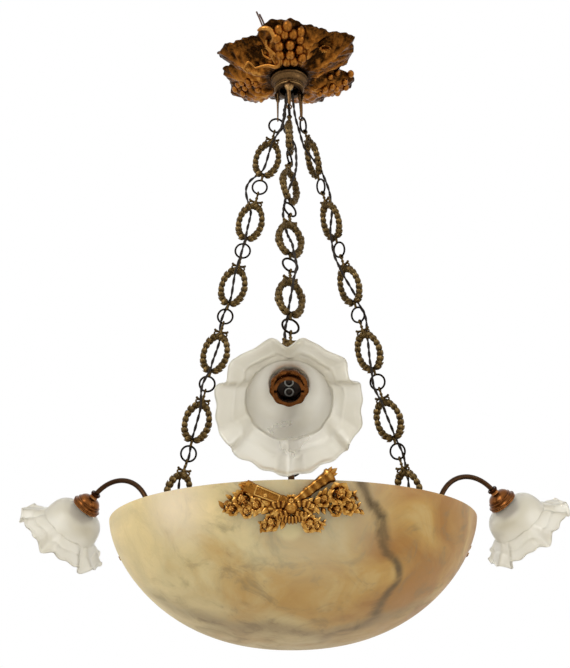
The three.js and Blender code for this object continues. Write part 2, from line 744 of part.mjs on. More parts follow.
function makeArm() {
  return bar(armPath().points.map(([x, z]) => [x, 0, z]), armTube, armSteps, 8);
}

// Gallery cup: collar round the arm, flared shoulder, and a rim that covers the shade's neck
function makeCup() {
  const entry = armTube + cupClearance;
  const seat = (neckRadius + seatGap) / Math.cos(Math.PI / cupSides);
  return turned([
    [entry, cupCollarTop], [cupCollarRadius, cupCollarTop], [cupCollarRadius, cupTop - cupWall],
    [cupCollarRadius + cupWall, cupTop], [cupShoulderRadius, cupShoulder],
    [cupRimRadius - cupWall / 2, neckTop - seatGap],
    [cupRimRadius, cupRim - 3 * cupWall], [cupRimRadius, cupRim], [seat, cupRim],
    [seat, neckTop - seatGap], [cupCollarRadius, cupTop + cupWall], [entry, cupTop + cupWall],
    [entry, cupCollarTop],
  ], cupSides);
}

// Where the lampholder's cap starts, just clear of the cup
const holderCap = cupTop + cupWall + 2 * seatGap;

// Bayonet lampholder: cap with the entry, barrel with two L-shaped slots, floor and two sprung contacts
function makeHolder(entryRadius) {
  const body = turned([
    [entryRadius, holderCap], [cupCollarRadius, holderCap], [holderRadius, holderShoulder],
    [holderRadius, holderLength], [holderBore, holderLength], [holderBore, holderFloor],
    [0, holderFloor], [0, armEntry + seatGap],
    [entryRadius, armEntry + seatGap], [entryRadius, holderCap],
  ], 12);
  const half = holderSlot / 2;
  const low = holderLength - slotDepth;
  const outline = [
    [-half, low], [slotTurn, low], [slotTurn, low + holderSlot], [half, low + holderSlot],
    [half, holderLength + overrun], [-half, holderLength + overrun],
  ];
  const slots = [90, 270].map(radians).map((turn) => (
    plate(outline, overrun).translate(0, holderRadius, 0).rotateZ(turn)
  ));
  const contacts = [-1, 1].map((side) => {
    const x = (side * contactSpacing) / 2;
    const [foot, tip] = [[x, 0, holderFloor - contactHeight], [x, 0, holderFloor + contactHeight]];
    return rod(foot, tip, contactRadius, contactRadius, 4);
  });
  return joined(cut(body, ...slots), ...contacts);
}

// Shade ring: a ribbed nut on the barrel, under the shade's neck
function makeShadeRing() {
  const outline = circlePoints(2 * shadeRingRibs, (i) => shadeRingRadius - (i % 2) * shadeRingRibDepth);
  const start = shoulderHeight - glassWall;
  return collar(outline, holderRadius + seatGap, 12, start, start + shadeRingHeight);
}

// Shade: a bell on a short neck that opens into ruffled petals, with dips at its top and its lowest side.
// Points run out along the outside and back inside.
function makeShade() {
  const step = shoulderHeight - glassWall - seatGap;
  const section = [
    [neckRadius, neckTop], [neckRadius, cupRim + seatGap], [0.78 * bodyRadius, shoulderHeight + seatGap],
    [0.98 * bodyRadius, 0.75 * waistHeight], [1.02 * bodyRadius, waistHeight], [edgeRadius, edgeHeight],
    [1.05 * bodyRadius - glassWall, waistHeight + glassWall],
    [0.98 * bodyRadius - glassWall, 0.75 * waistHeight],
    [0.7 * bodyRadius, shoulderHeight + glassWall], [shadeRingRadius + looseGap, step], [neckBore, step],
    [neckBore, neckTop],
  ];
  return loopSurface(section.length, 4 * petals, (i, j) => {
    const [r, h] = section[i];
    const open = Math.max(0, (h - waistHeight) / (edgeHeight - waistHeight));
    const wave = -open * Math.cos((Math.PI / 2) * j);
    const radius = r + petalSwell * wave;
    const around = (Math.PI * j) / (2 * petals);
    return [radius * Math.cos(around), radius * Math.sin(around), h - petalWave * wave];
  });
}

// Gilt mount in the rim's radial frame, laid on the bowl: crossed quiver and torch, garlands and a bow
function makeMount() {
  const lift = mountRelief / 2 + mountChordRise;
  const on = ([side, height]) => {
    const depth = Math.max(0, -height) * mountSpread;
    const r = bowlRadius * bowlShare(depth / bowlDepth) + lift;
    const a = (side * mountSpread) / bowlRadius;
    return [r * Math.cos(a), r * Math.sin(a), height * mountSpread];
  };
  const stem = mountRelief / 2;
  const laid = (from, to, start, end) => rod(on(from), on(to), start * stem, end * stem, 4);
  const flower = (shape, place) => shape.scale(stem / mountRoseRadius, 1, 1)
    .rotateZ((place[0] * mountSpread) / bowlRadius).translate(...on(place));
  const rose = (place) => flower(new THREE.IcosahedronGeometry(mountRoseRadius, 0), place);
  const bud = (place) => flower(new THREE.OctahedronGeometry(mountBudRadius, 0), place);
  const knot = [0, -0.37];
  const [leftRose, rightRose] = [[-0.65, -0.3], [0.65, -0.24]];
  const [leftBud, rightBud] = [[-0.26, -0.585], [0.24, -0.605]];
  const garland = [
    [-0.99, -0.38], leftRose, [-0.2, -0.4], [0.2, -0.36], rightRose, [0.78, -0.37], [0.99, -0.4],
  ];
  const bow = [[-0.44, -0.62], leftBud, [-0.08, -0.45], [0.08, -0.45], rightBud, [0.5, -0.68]];
  const made = joined(
    rose(knot), rose(leftRose), rose(rightRose), bud(leftBud), bud(rightBud),
    bar(garland.map(on), 0.8 * stem, 9, 4), bar(bow.map(on), 0.7 * stem, 6, 4),
    laid(knot, [-0.59, -0.12], 0.8, 1), laid(knot, [0.53, 0.05], 0.7, 1.1),
  );
  const ends = [[bowlRadius / 2, 0, -studDrop], [studEnd() + seatGap, 0, -studDrop]];
  const hole = bore(...ends, studRadius + seatGap, 6);
  return cut(made, hole);
}

// Spider: a hub with three flat arms that rest on the brackets' shelves
function makeSpider() {
  const low = -spiderDrop;
  const top = low + spiderThickness;
  const arms = Object.values(azimuths).map((azimuth) => block(
    [0, -spiderWidth / 2, low], [padFace - seatGap, spiderWidth / 2, top],
  ).rotateZ(radians(azimuth - 90)));
  return joined(disc(hubRadius, top - hubHeight, top, 18), ...arms);
}

// Lead from a bracket's gland down to the spider's arm and along it to the lampholder in the bowl
function makeLead() {
  const lie = -spiderDrop + spiderThickness + leadRadius + 2 * seatGap;
  const end = cupCollarRadius + 2.5 * leadRadius;
  return bar([
    [glandPlace, 0, glandBottom - seatGap], [glandPlace, 0, glandBottom - 2 * leadRadius],
    [glandPlace - 2 * leadRadius, 0, lie + leadRadius], [glandPlace - spiderWidth, 0, lie],
    [0.8 * glandPlace, 0, lie], [glandPlace / 2, 0, lie], [end + spiderWidth, 0, lie], [end, 0, lie],
  ], leadRadius, leadSteps, 8);
}

// The arm end's frame: +Z along the shade's axis
function makeLamp(side) {
  const [x, z] = armPath().end;
  const frame = new THREE.Group();
  frame.position.set(x, 0, z);
  frame.rotation.y = Math.PI / 2 + radians(armFall);
  frame.add(piece(`${side}_gallery_cup`, makeCup(), copper));
  frame.add(piece(`${side}_lampholder`, makeHolder(armTube + 2 * seatGap), copper));
  frame.add(piece(`${side}_shade_ring`, makeShadeRing(), copper));
  frame.add(piece(`${side}_shade`, makeShade(), frostedGlass));
  return frame;
}

function makeRim() {
  const rim = new THREE.Group();
  rim.position.z = -rimDrop;
  return rim;
}

// One third of the pendant: chain, bracket, gilt mount, arm with its lamp, and lead
function makeThird(side, azimuth) {
  const third = new THREE.Group();
  third.rotation.z = radians(azimuth - 90);
  third.add(makeChain(side));
  const rim = makeRim();
  rim.add(piece(`${side}_bracket`, makeBracket(), bronze));
  rim.add(piece(`${side}_rim_mount`, makeMount(), gilt));
  rim.add(piece(`${side}_arm`, makeArm(), darkBronze));
  rim.add(piece(`${side}_lead`, makeLead(), flexCover));
  rim.add(makeLamp(side));
  third.add(rim);
  return third;
}

function makePendant() {
  const pendant = new THREE.Group();
  pendant.add(piece("canopy", makeCanopy(), bronze));
  pendant.add(piece("crown_cap", makeCrown(), bronze));
  makeSuspension(pendant);
  const rim = makeRim();
  rim.add(piece("bowl", makeBowl(), alabaster));
  rim.add(piece("spider", makeSpider(), bronze));
  const holder = piece("bowl_lampholder", makeHolder(contactRadius), copper);
  holder.position.z = -spiderDrop + spiderThickness + seatGap - holderCap;
  rim.add(holder);
  pendant.add(rim);
  for (const [side, azimuth] of Object.entries(azimuths)) pendant.add(makeThird(side, azimuth));
  return pendant;
}

export default makePendant();
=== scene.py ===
"""Alabaster bowl pendant: its castings, chains, glass, alabaster and finishes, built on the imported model.

The shape functions work in millimetres, +Z up, with the origin in the ceiling plane on the pendant's axis.
The front arm points towards -Y. A turn or an azimuth is in degrees; a reach is a distance from an axis.
A chain's turns are those of its six wreaths about the chain, and of its last ring. The canopy's outline is
pairs of azimuth and share of its radius, and its leaves are pairs of azimuth and half width.
"""

from typing import NamedTuple

import bpy
import numpy as np
from bpy.props import FloatProperty, FloatVectorProperty, PointerProperty
from mathutils import Matrix


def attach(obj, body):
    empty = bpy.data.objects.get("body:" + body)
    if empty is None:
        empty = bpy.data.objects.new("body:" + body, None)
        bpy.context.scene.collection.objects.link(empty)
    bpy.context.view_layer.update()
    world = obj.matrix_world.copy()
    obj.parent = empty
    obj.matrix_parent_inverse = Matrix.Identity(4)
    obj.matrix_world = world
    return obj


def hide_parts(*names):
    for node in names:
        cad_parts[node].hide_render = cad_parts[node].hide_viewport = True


bl_info = {
    "name": "Alabaster bowl pendant",
    "version": (1, 0, 0),
    "blender": (4, 5, 0),
    "location": "3D View > Sidebar > Pendant",
    "description": "Builds the looks of an alabaster bowl pendant on its packed model",
    "category": "Object",
}

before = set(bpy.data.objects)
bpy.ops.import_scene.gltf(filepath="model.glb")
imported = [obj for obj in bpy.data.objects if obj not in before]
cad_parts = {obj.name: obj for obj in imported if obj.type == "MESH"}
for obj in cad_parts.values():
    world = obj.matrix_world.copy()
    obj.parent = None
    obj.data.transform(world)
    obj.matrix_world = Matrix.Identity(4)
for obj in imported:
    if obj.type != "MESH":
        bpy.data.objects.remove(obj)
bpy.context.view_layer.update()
MM = 0.001

AZIMUTHS = {"front": 0, "left": -120, "right": 120}
CHAIN_TURNS = {
    "front": [85, 57, 28, 28, 15, 5, 0],
    "left": [-60, -58, -60, -62, -50, -30, 0],
    "right": [-12, 5, 15, 30, 40, 25, 0],
}
CHAIN_PITCH = 92.187
FIRST_RING_DROP = 9.5
RING_RADIUS = 9.8
WREATH_DROP = 51.3
WREATH_WIDE, WREATH_TALL = 14.6, 22.6
WREATH_STEP = (np.pi - 0.42) / 8.3
HOOK_REACH, HOOK_DROP = 18.5, 84
LUG_REACH, LUG_DROP = 181.2, 632.5
BOWL_RADIUS, BOWL_DEPTH = 210, 138.6
RIM_DROP = 642
MOUNT_KNOT = -26.6
SPIDER_TOP = -34.7
ARM_REACH = 189
ARM_RISE, ARM_FALL = 58, 43
CUP_PAST_BEND = 3
CANOPY_RADIUS = 100
CANOPY_BOSS = 29
CANOPY_OUTLINE = np.array([
    [-172, 0.84], [-155, 0.82], [-144, 1.03], [-128, 1.04], [-112, 0.94], [-94, 0.92], [-85, 0.83],
    [-72, 1.05], [-50, 0.89], [-35, 0.76], [-20, 0.97], [0, 0.98], [18, 0.88], [36, 0.92], [56, 1.06],
    [76, 0.89], [88, 0.78], [99, 0.72], [108, 0.96], [124, 1.03], [140, 0.95], [156, 0.98], [167, 0.89],
])
CANOPY_LEAVES = [
    (-136, 26), (-98, 20), (-68, 22), (-28, 16), (27, 15), (55, 20), (82, 14), (124, 24), (165, 22),
]
GRAPES = np.array([
    [-1, -91], [-12, -85], [-15, -76], [-5, -79], [6, -79], [16, -79], [-12, -66], [2, -67], [15, -69],
    [-11, -53], [2, -54], [14, -57], [7, -41], [18, -47], [-3, -40],
])
SMALL_GRAPES = np.array([
    [-66, 17], [-56, 17], [-57, 6], [-46, 9], [-44, 22], [-72, 30], [-62, 29], [-77, 45], [-66, 42],
    [50, 23], [57, 13], [67, 14], [66, 30], [78, 26], [80, 41], [42, 31], [55, 41], [68, 44], [86, 17],
    [60, 22],
])
SUPPLY_ROUTES = {
    "a": [
        [-40, -3.5, -8], [-40, -16, -8], [-40, -32, -8], [-38, -46, -4], [-35, -52, 5], [-34, -53, 18],
        [-38, -54, 32], [-43, -54, 46],
    ],
    "b": [
        [-34, -3.5, -8], [-34, -16, -8], [-34, -30, -8], [-33, -42, -4], [-31, -48, 5], [-30, -49, 18],
        [-34, -50, 32], [-39, -50, 45],
    ],
}
FLEX_ROUTE_PITCH = 92.2
FLEX_ROUTES = {
    "front": [
        [-39, 2, 0], [-22, 5, -3], [-3, 4, -7], [18, 1, -8], [38, 0, -8], [49, 0, -5.5], [73, 0, 5.5],
        [84, 0, 8], [110, 3, 8], [131, 0, 8], [141, 0, 5.5], [165, 0, -5.5], [176, 0, -8], [200, -4, -8],
        [223, 0, -8], [233, 0, -5.5], [257, 0, 5.5], [268, 0, 8], [292, 4, 8], [315, 0, 8], [325, 0, 5.5],
        [350, 0, -5.5], [360, 0, -8], [384, -4, -8], [407, 0, -8], [418, 0, -5.5], [442, 0, 5.5],
        [452, 0, 8], [476, 3, 8], [500, 0, 8], [510, 0, 5.5], [534, 0, -5.5], [545, 0, -8], [560, 0, -9],
        [574, 0, -10.5], [586.7, 0, -13],
    ],
    "left": [
        [-39, -2, -1], [-22, -5, -3], [-5, -9, -5], [10, -8.5, -6], [24, -6, -8], [38, -2, -8],
        [49, -1, -5.5], [72, 2, 5.5], [84, 10, 8], [94, 16, 6], [106, 18, 5], [118, 14, 7], [131, 6, 9.5],
        [141, 3, 5.5], [165, 1, -5.5], [176, 0, -8], [200, 0, -8], [223, 1, -8], [233, 1, -5.5],
        [257, 0, 5.5], [268, 2, 8], [292, 5, 8], [315, 1, 8], [325, 0, 5.5], [350, 0, -5.5], [360, 0, -8],
        [384, 5, -8], [407, 1, -8], [418, 0, -5.5], [442, 0, 5.5], [452, 0, 8], [476, -3, 8], [500, 0, 8],
        [510, 0, 5.5], [534, 0, -5.5], [545, -1, -8], [560, -1, -9], [574, 0, -10.5], [586.7, 0, -13],
    ],
    "right": [
        [-39, 0, -2.4], [-22, 0, -5.5], [-3, 0, -8], [18, 0, -8], [38, 0, -8], [49, 0, -5.5],
        [73, 0, 5.5], [84, 0, 8], [110, -4, 8], [131, 0, 8], [141, 0, 5.5], [165, 0, -5.5],
        [176, 0, -8], [200, 4, -8], [223, 0, -8], [233, 0, -5.5], [257, 0, 5.5], [268, 0, 8],
        [292, -5, 8], [315, 0, 8], [325, 0, 5.5], [350, 0, -5.5], [360, 0, -8], [384, 4, -8],
        [407, 0, -8], [418, 0, -5.5], [442, 0, 5.5], [452, 0, 8], [476, -3, 8], [500, 0, 8],
        [510, 0, 5.5], [534, 0, -5.5], [545, 0, -8], [560, 0, -9], [574, 0, -10.5], [586.7, 0, -13],
    ],
}


def linear(code):
    """A colour written as sRGB hex, as linear red, green, blue and alpha."""
    parts = np.array([(code >> 16) & 255, (code >> 8) & 255, code & 255]) / 255
    light = np.where(parts <= 0.04045, parts / 12.92, ((parts + 0.055) / 1.055) ** 2.4)
    return (*light.tolist(), 1.0)


# Places and turns as 4 x 4 matrices

def shift(x, y, z):
    return np.array(Matrix.Translation((x, y, z)))


def turn(axis, degrees):
    return np.array(Matrix.Rotation(np.radians(degrees), 4, axis))


def third(side):
    """The frame of one third of the pendant: +X outwards along its arm."""
    return turn("Z", AZIMUTHS[side] - 90)


def rim(side):
    """The frame of one third at the height of the bowl's rim."""
    return third(side) @ shift(0, 0, -RIM_DROP)


def chain(side):
    """The chain's frame: its origin is the hook's pivot and -Z runs down the chain to the lug."""
    slope = np.degrees(np.arctan2(LUG_REACH - HOOK_REACH, LUG_DROP - HOOK_DROP))
    return third(side) @ shift(HOOK_REACH, 0, -HOOK_DROP) @ turn("Y", -slope)


def lamp(side):
    """The arm end's frame: +Z along the shade's axis, from the cup's place past the arm's bend."""
    out, up = past_bend(CUP_PAST_BEND)
    return rim(side) @ shift(out, 0, up) @ turn("Y", 90 + ARM_FALL)


def frames(origins, axes=np.eye(3)):
    """A matrix for each origin; axes holds three directions as columns, the same for all or one set each."""
    matrices = np.tile(np.eye(4), (len(origins), 1, 1))
    matrices[:, :3, :3] = axes
    matrices[:, :3, 3] = origins
    return matrices


# Shapes as whole arrays of points

class Form(NamedTuple):
    """A closed shape: points, four- and three-sided faces, and each point's crest (1) or recess (0)."""

    points: np.ndarray
    quads: np.ndarray
    tris: np.ndarray
    crest: np.ndarray

    def at(self, matrix):
        return self._replace(points=self.points @ matrix[:3, :3].T + matrix[:3, 3])


def together(forms):
    """Several forms as one, their face numbers moved past the points before them."""
    starts = np.cumsum([0] + [len(form.points) for form in forms[:-1]])
    moved = [
        form._replace(quads=form.quads + start, tris=form.tris + start) for form, start in zip(forms, starts)
    ]
    return Form(*(np.concatenate(parts) for parts in zip(*moved)))


def copies(form, matrices):
    """The form repeated at each of an array of matrices: every point times every matrix at once."""
    count, size = len(matrices), len(form.points)
    points = np.einsum("kij,nj->kni", matrices[:, :3, :3], form.points) + matrices[:, None, :3, 3]
    starts = (np.arange(count) * size)[:, None, None]
    quads, tris = (form.quads + starts).reshape(-1, 4), (form.tris + starts).reshape(-1, 3)
    return Form(points.reshape(-1, 3), quads, tris, np.tile(form.crest, count))


def outward(form):
    """Turns the faces over where the volume, from the sum of their triple products, is negative."""
    p = form.points
    t = np.concatenate([form.quads[:, [0, 1, 2]], form.quads[:, [0, 2, 3]], form.tris])
    volume = np.einsum("ij,ij->", p[t[:, 0]], np.cross(p[t[:, 1]], p[t[:, 2]]))
    if volume > 0:
        return form
    return form._replace(quads=form.quads[:, ::-1], tris=form.tris[:, ::-1])


def skin(grid, crest=0.5, loop=False):
    """Faces over a grid whose rows run along the piece, closed round it. A loop closes too; ends get fans."""
    m, n = grid.shape[:2]
    points = grid.reshape(-1, 3)
    crest = np.broadcast_to(crest, (m, n)).reshape(-1).astype(float)
    i, j = np.meshgrid(np.arange(m if loop else m - 1), np.arange(n), indexing="ij")
    below, beside = (i + 1) % m, (j + 1) % n
    quads = np.stack([i * n + j, i * n + beside, below * n + beside, below * n + j], -1).reshape(-1, 4)
    tris = np.empty((0, 3), int)
    if not loop:
        k = np.arange(n)
        next_k = (k + 1) % n
        last = (m - 1) * n
        first_fan = np.stack([np.full(n, m * n), next_k, k], -1)
        last_fan = np.stack([np.full(n, m * n + 1), last + k, last + next_k], -1)
        tris = np.concatenate([first_fan, last_fan])
        points = np.vstack([points, grid[0].mean(0), grid[-1].mean(0)])
        crest = np.append(crest, [crest[0], crest[-1]])
    return outward(Form(points, quads, tris, crest))


def unit(vectors):
    return vectors / np.linalg.norm(vectors, axis=-1, keepdims=True)


def polar(reach, angle, height):
    """Points at a reach and an angle about Z and at a height, the three spread to one array."""
    return np.stack(np.broadcast_arrays(reach * np.cos(angle), reach * np.sin(angle), height), -1)


def distances(path):
    """How far along a path each of its points lies."""
    return np.append(0, np.cumsum(np.linalg.norm(np.diff(path, axis=0), axis=1)))


def spline(knots, count):
    """Points at even distances on a Catmull-Rom curve: each span is the cubic set by four knots in a row."""
    knots = np.asarray(knots, float)
    p = np.vstack([2 * knots[0] - knots[1], knots, 2 * knots[-1] - knots[-2]])
    t = np.linspace(0, len(knots) - 1, 12 * count)
    i = np.minimum(t.astype(int), len(knots) - 2)
    u = (t - i)[:, None]
    a, b, c, d = p[i], p[i + 1], p[i + 2], p[i + 3]
    fine = b + 0.5 * u * (c - a + u * (2 * a - 5 * b + 4 * c - d + u * (3 * (b - c) + d - a)))
    along = distances(fine)
    even = np.linspace(0, along[-1], count)
    return np.stack([np.interp(even, along, column) for column in fine.T], -1)


def square(path, up, loop=False):
    """Two directions at each point of a path, square to it and to each other."""
    ahead = unit(np.roll(path, -1, 0) - np.roll(path, 1, 0) if loop else np.gradient(path, axis=0))
    side = unit(np.cross(ahead, np.asarray(up, float)))
    return side, np.cross(side, ahead)


def tube(path, radius, sides=10, up=(0, 0, 1), flat=1.0, crest=0.5, loop=False):
    """A circle, or an ellipse when flat isn't 1, carried along a path, square to its direction."""
    path = np.asarray(path, float)
    side, over = square(path, up, loop)
    around = (np.arange(sides) * 2 * np.pi / sides)[None, :, None]
    reach = np.broadcast_to(radius, len(path))[:, None, None]
    across = np.cos(around) * side[:, None] + flat * np.sin(around) * over[:, None]
    return skin(path[:, None] + reach * across, crest, loop)


def lathe(profile, segments=64, loop=False, crest=0.5, ripple=0.0, waves=0):
    """A profile of (radius, height) turned about Z; ripple adds cosine flutes, waves to the turn."""
    profile = np.asarray(profile, float)
    around = np.arange(segments) * 2 * np.pi / segments
    reach = profile[:, :1] + ripple * np.cos(waves * around)
    return skin(polar(reach, around, profile[:, 1:]), crest, loop)


def bead(radius, flat=1.0, rows=7, sides=10):
    """A ball, or a button when flat is under 1: rows of circles at even angles from pole to pole."""
    angle = np.linspace(0.12, np.pi - 0.12, rows)
    profile = np.stack([radius * np.sin(angle), -radius * flat * np.cos(angle)], -1)
    return lathe(profile, sides, crest=(0.1 + 0.75 * np.sin(angle / 2) ** 2)[:, None])


def leaf(length, width, thick, curl=0.2, rows=5, sides=6):
    """A pointed leaf along +X: width and thickness follow sin(pi u^0.8), its line lifts as curl u^2."""
    u = np.linspace(0.03, 0.98, rows)[:, None]
    a = np.arange(sides) * 2 * np.pi / sides + np.pi / 2
    full = np.sin(np.pi * u ** 0.8)
    ridge = np.sin(a) + 0.5 * (np.sin(a) > 0.9)
    grid = np.stack([
        length * u + 0 * a, width / 2 * full * np.cos(a), thick / 2 * full * ridge + curl * length * u ** 2,
    ], -1)
    return skin(grid, np.clip(0.15 + 0.5 * (ridge > 0) * (0.4 + u) + 0.3 * u, 0, 1))


def hoop(radius, wire, sides=10, rounds=28, crest=0.0):
    """A ring of round wire in the YZ plane."""
    a = np.arange(rounds) * 2 * np.pi / rounds
    path = np.stack([0 * a, radius * np.cos(a), radius * np.sin(a)], -1)
    return tube(path, wire, sides, up=(1, 0, 0), crest=crest, loop=True)


def rose(radius, height):
    """A rose on +Z: a bud inside two rings of broad petals that lean out from its middle."""
    petal = leaf(radius * 0.72, radius * 0.95, height * 0.4, 0.25, 5, 8)
    upright = [turn("Z", 72 * k + 20) @ turn("Y", -58) for k in range(5)]
    wide = [turn("Z", 60 * k) @ shift(radius * 0.28, 0, -height * 0.1) @ turn("Y", -16) for k in range(6)]
    bud = bead(radius * 0.3, 1.2).at(shift(0, 0, height * 0.45))
    inner = copies(petal, np.array(upright)).at(shift(0, 0, height * 0.1))
    return together([bud, inner, copies(petal, np.array(wide))])


def lumps(points, size, seed):
    """Soft unevenness from -1 to 1: seven sine waves of about one size that run in seeded directions."""
    rng = np.random.default_rng(seed)
    ways = unit(rng.normal(size=(7, 3))) * (2 * np.pi / size) * rng.uniform(0.7, 1.6, (7, 1))
    return np.sin(points @ ways.T + rng.uniform(0, 6.28, 7)).sum(-1) / 4


# Shader nodes and finishes

def node(tree, kind, settings=None, inputs=None, stops=(), curve=()):
    """Adds one shader node, sets it, links or fills its inputs, and returns its outputs.

    Inputs go by name or by number. Of a MapRange, 0 is the value, 1 and 2 the limits it comes from, 3 and 4
    those it goes to, which are 0 and 1 when not given. Of a Mix of colours, 0 is the share and 6 and 7 the
    colours, and its result is output 2. Stops fill a colour ramp, the ends first; curve fills a float curve.
    """
    made = tree.nodes.new("ShaderNode" + kind)
    for key, value in (settings or {}).items():
        setattr(made, key, value)
    for key, value in (inputs or {}).items():
        if isinstance(value, bpy.types.NodeSocket):
            tree.links.new(value, made.inputs[key])
        else:
            made.inputs[key].default_value = value
    for k, (place, color) in enumerate(stops):
        band = made.color_ramp.elements
        element = band[k] if k < 2 else band.new(place)
        element.position = place
        element.color = color
    if curve:
        line = made.mapping.curves[0].points
        line[0].location, line[1].location = curve[0], curve[-1]
        for place in curve[1:-1]:
            line.new(*place)
        made.mapping.update()
    return made.outputs


def fresh(name, sockets):
    """A material whose Principled shader holds what is the same all over, its tree, and a point's place."""
    material = bpy.data.materials.new(name)
    material.use_nodes = True
    tree = material.node_tree
    for key, value in sockets.items():
        tree.nodes["Principled BSDF"].inputs[key].default_value = value
    return material, tree, node(tree, "TexCoord")["Object"]


def fed(material, sockets):
    """The material, with its Principled shader's sockets linked to what changes over the piece."""
    tree = material.node_tree
    for key, output in sockets.items():
        tree.links.new(output, tree.nodes["Principled BSDF"].inputs[key])
    return material


def worn_metal(name, recess, face, crest, grain, rough, relief=0.25):
    """Cast or spun metal: crests rubbed bright, patina in the recesses, both broken by spots of grain mm."""
    material, tree, place = fresh(name, {"Metallic": 1.0})
    height = node(tree, "Attribute", {"attribute_name": "crest"})["Fac"]
    spots = node(tree, "TexNoise", inputs={
        "Vector": place, "Scale": 1 / (grain * MM), "Detail": 5.0, "Roughness": 0.62,
    })["Fac"]
    clouds = node(tree, "TexNoise", inputs={
        "Vector": place, "Scale": 1 / (9 * grain * MM), "Detail": 3.0,
    })["Fac"]
    spotted = node(tree, "Math", {"operation": "MULTIPLY_ADD"}, {0: spots, 1: 0.9, 2: height})[0]
    clouded = node(tree, "Math", {"operation": "MULTIPLY_ADD"}, {0: clouds, 1: 0.5, 2: spotted})[0]
    wear = node(tree, "MapRange", inputs={0: clouded, 1: 0.72, 2: 2.15})[0]
    return fed(material, {
        "Base Color": node(tree, "ValToRGB", inputs={"Fac": wear}, stops=[
            (0.0, linear(recess)), (1.0, linear(crest)), (0.5, face),
        ])["Color"],
        "Roughness": node(tree, "MapRange", inputs={0: spots, 1: 0.3, 2: 0.7, 3: rough[1], 4: rough[0]})[0],
        "Normal": node(tree, "Bump", inputs={"Strength": relief, "Distance": 0.3 * MM, "Height": spots})[0],
    })


def mottled(name, sockets, grain, detail, low, high):
    """A stuff of two tones in spots of grain mm; low and high are each a place in the noise and a colour.

    It gives the material and the spots.
    """
    material, tree, place = fresh(name, sockets)
    spots = node(tree, "TexNoise", inputs={
        "Vector": place, "Scale": 1 / (grain * MM), "Detail": detail,
    })["Fac"]
    color = node(tree, "ValToRGB", inputs={"Fac": spots}, stops=[
        (low[0], linear(low[1])), (high[0], linear(high[1])),
    ])["Color"]
    return fed(material, {"Base Color": color}), spots


def fire_gilt_bronze(look):
    """Fire-gilt cast bronze of the rim mounts: bright yellow crests over red-brown recesses."""
    return worn_metal("fire_gilt_bronze", 0x3A1608, look.gilding, 0xFFD27A, 2.2, (0.16, 0.36))


def aged_gilt_casting(look):
    """Gilt canopy casting, worn and smoked: orange-brown with olive-black hollows and edges."""
    return worn_metal("aged_gilt_casting", 0x2A1808, look.canopy, 0xE0AC5C, 3.2, (0.22, 0.46), 0.5)


def tarnished_brass(look):
    """Cast brass of the crown and its hooks, gone grey-brown, bright where the rings rub."""
    return worn_metal("tarnished_brass", 0x2A1C10, look.brass, 0xC8A468, 2.5, (0.3, 0.5))


def patinated_chain_bronze(look):
    """Cast bronze chain under brown-green patina, with rubbed leaf tips."""
    return worn_metal("patinated_chain_bronze", 0x18110A, look.chain, 0xA2885A, 1.6, (0.34, 0.55))


def dark_patinated_bronze(look):
    """Drawn tube and small castings under near-black brown patina, rubbed to brown on the bends."""
    return worn_metal("dark_patinated_bronze", 0x1E120A, look.patina, 0x86643E, 3.0, (0.28, 0.45), 0.1)


def spun_copper(look):
    """Spun and lacquered copper-bronze of cups and lampholders, with brown tarnish in the steps."""
    return worn_metal("spun_copper", 0x2C160A, look.copper, 0xE6B478, 5.0, (0.16, 0.34), 0.08)


def zinc_plated_steel(look):
    """Zinc-plated steel strip and tube of the ceiling fixings: grey, dulled by fine spangles."""
    return worn_metal("zinc_plated_steel", 0x70706C, look.steel, 0xB4B4B0, 1.5, (0.35, 0.5), 0.1)


def glazed_porcelain(look):
    """Glazed porcelain terminal block: an ivory body, faintly mottled, under a clear glaze."""
    return mottled("glazed_porcelain", {
        "Roughness": 0.22, "IOR": 1.5, "Coat Weight": 0.6, "Coat Roughness": 0.08,
    }, 4.545, 2.0, (0.3, 0xDED6C2), (0.7, 0xF0EBDD))[0]


def cotton_flex(look):
    """Braided cotton over the conductors, blackened by age: threads of 0.6 mm stand up as fine ribs."""
    material, threads = mottled("cotton_flex", {
        "Roughness": 0.85, "IOR": 1.45,
    }, 0.6, 2.0, (0.3, 0x0C0A09), (0.75, 0x35291F))
    ribs = {"Strength": 0.6, "Distance": 0.2 * MM, "Height": threads}
    return fed(material, {"Normal": node(material.node_tree, "Bump", inputs=ribs)[0]})


def rubber_covered_wire(look):
    """Perished red-brown rubber and cotton over the supply tails: dull, with dark rubbed spots."""
    return mottled("rubber_covered_wire", {
        "Roughness": 0.75, "IOR": 1.5,
    }, 2.381, 4.0, (0.35, 0x2A1A14), (0.7, 0x6A4634))[0]


def smoked_insulator(look):
    """Black-brown fibre inside the lampholders: soft, dull and dusty."""
    return mottled("smoked_insulator", {
        "Roughness": 0.7, "IOR": 1.5,
    }, 3.333, 4.0, (0.3, 0x120C08), (0.8, 0x3A2A1E))[0]


def etched_glass(look):
    """Pressed glass etched with acid: clear body, finely frosted skin, slightly milky and pearly."""
    material, tree, place = fresh("etched_glass", {
        "IOR": 1.46, "Transmission Weight": look.clearness, "Coat Weight": 0.15, "Coat Roughness": 0.3,
    })
    haze = node(tree, "TexNoise", inputs={
        "Vector": place, "Scale": 1 / (38 * MM), "Detail": 3.0, "Distortion": 0.6,
    })["Fac"]
    frost = node(tree, "TexNoise", inputs={"Vector": place, "Scale": 1 / (1.4 * MM), "Detail": 2.0})["Fac"]
    return fed(material, {
        "Base Color": node(tree, "ValToRGB", inputs={"Fac": haze}, stops=[
            (0.25, look.glass_shade), (0.75, look.glass),
        ])["Color"],
        "Roughness": node(tree, "MapRange", inputs={0: haze, 1: 0.3, 2: 0.7, 3: 0.36, 4: 0.27})[0],
        "Normal": node(tree, "Bump", inputs={"Strength": 0.1, "Distance": 0.15 * MM, "Height": frost})[0],
    })


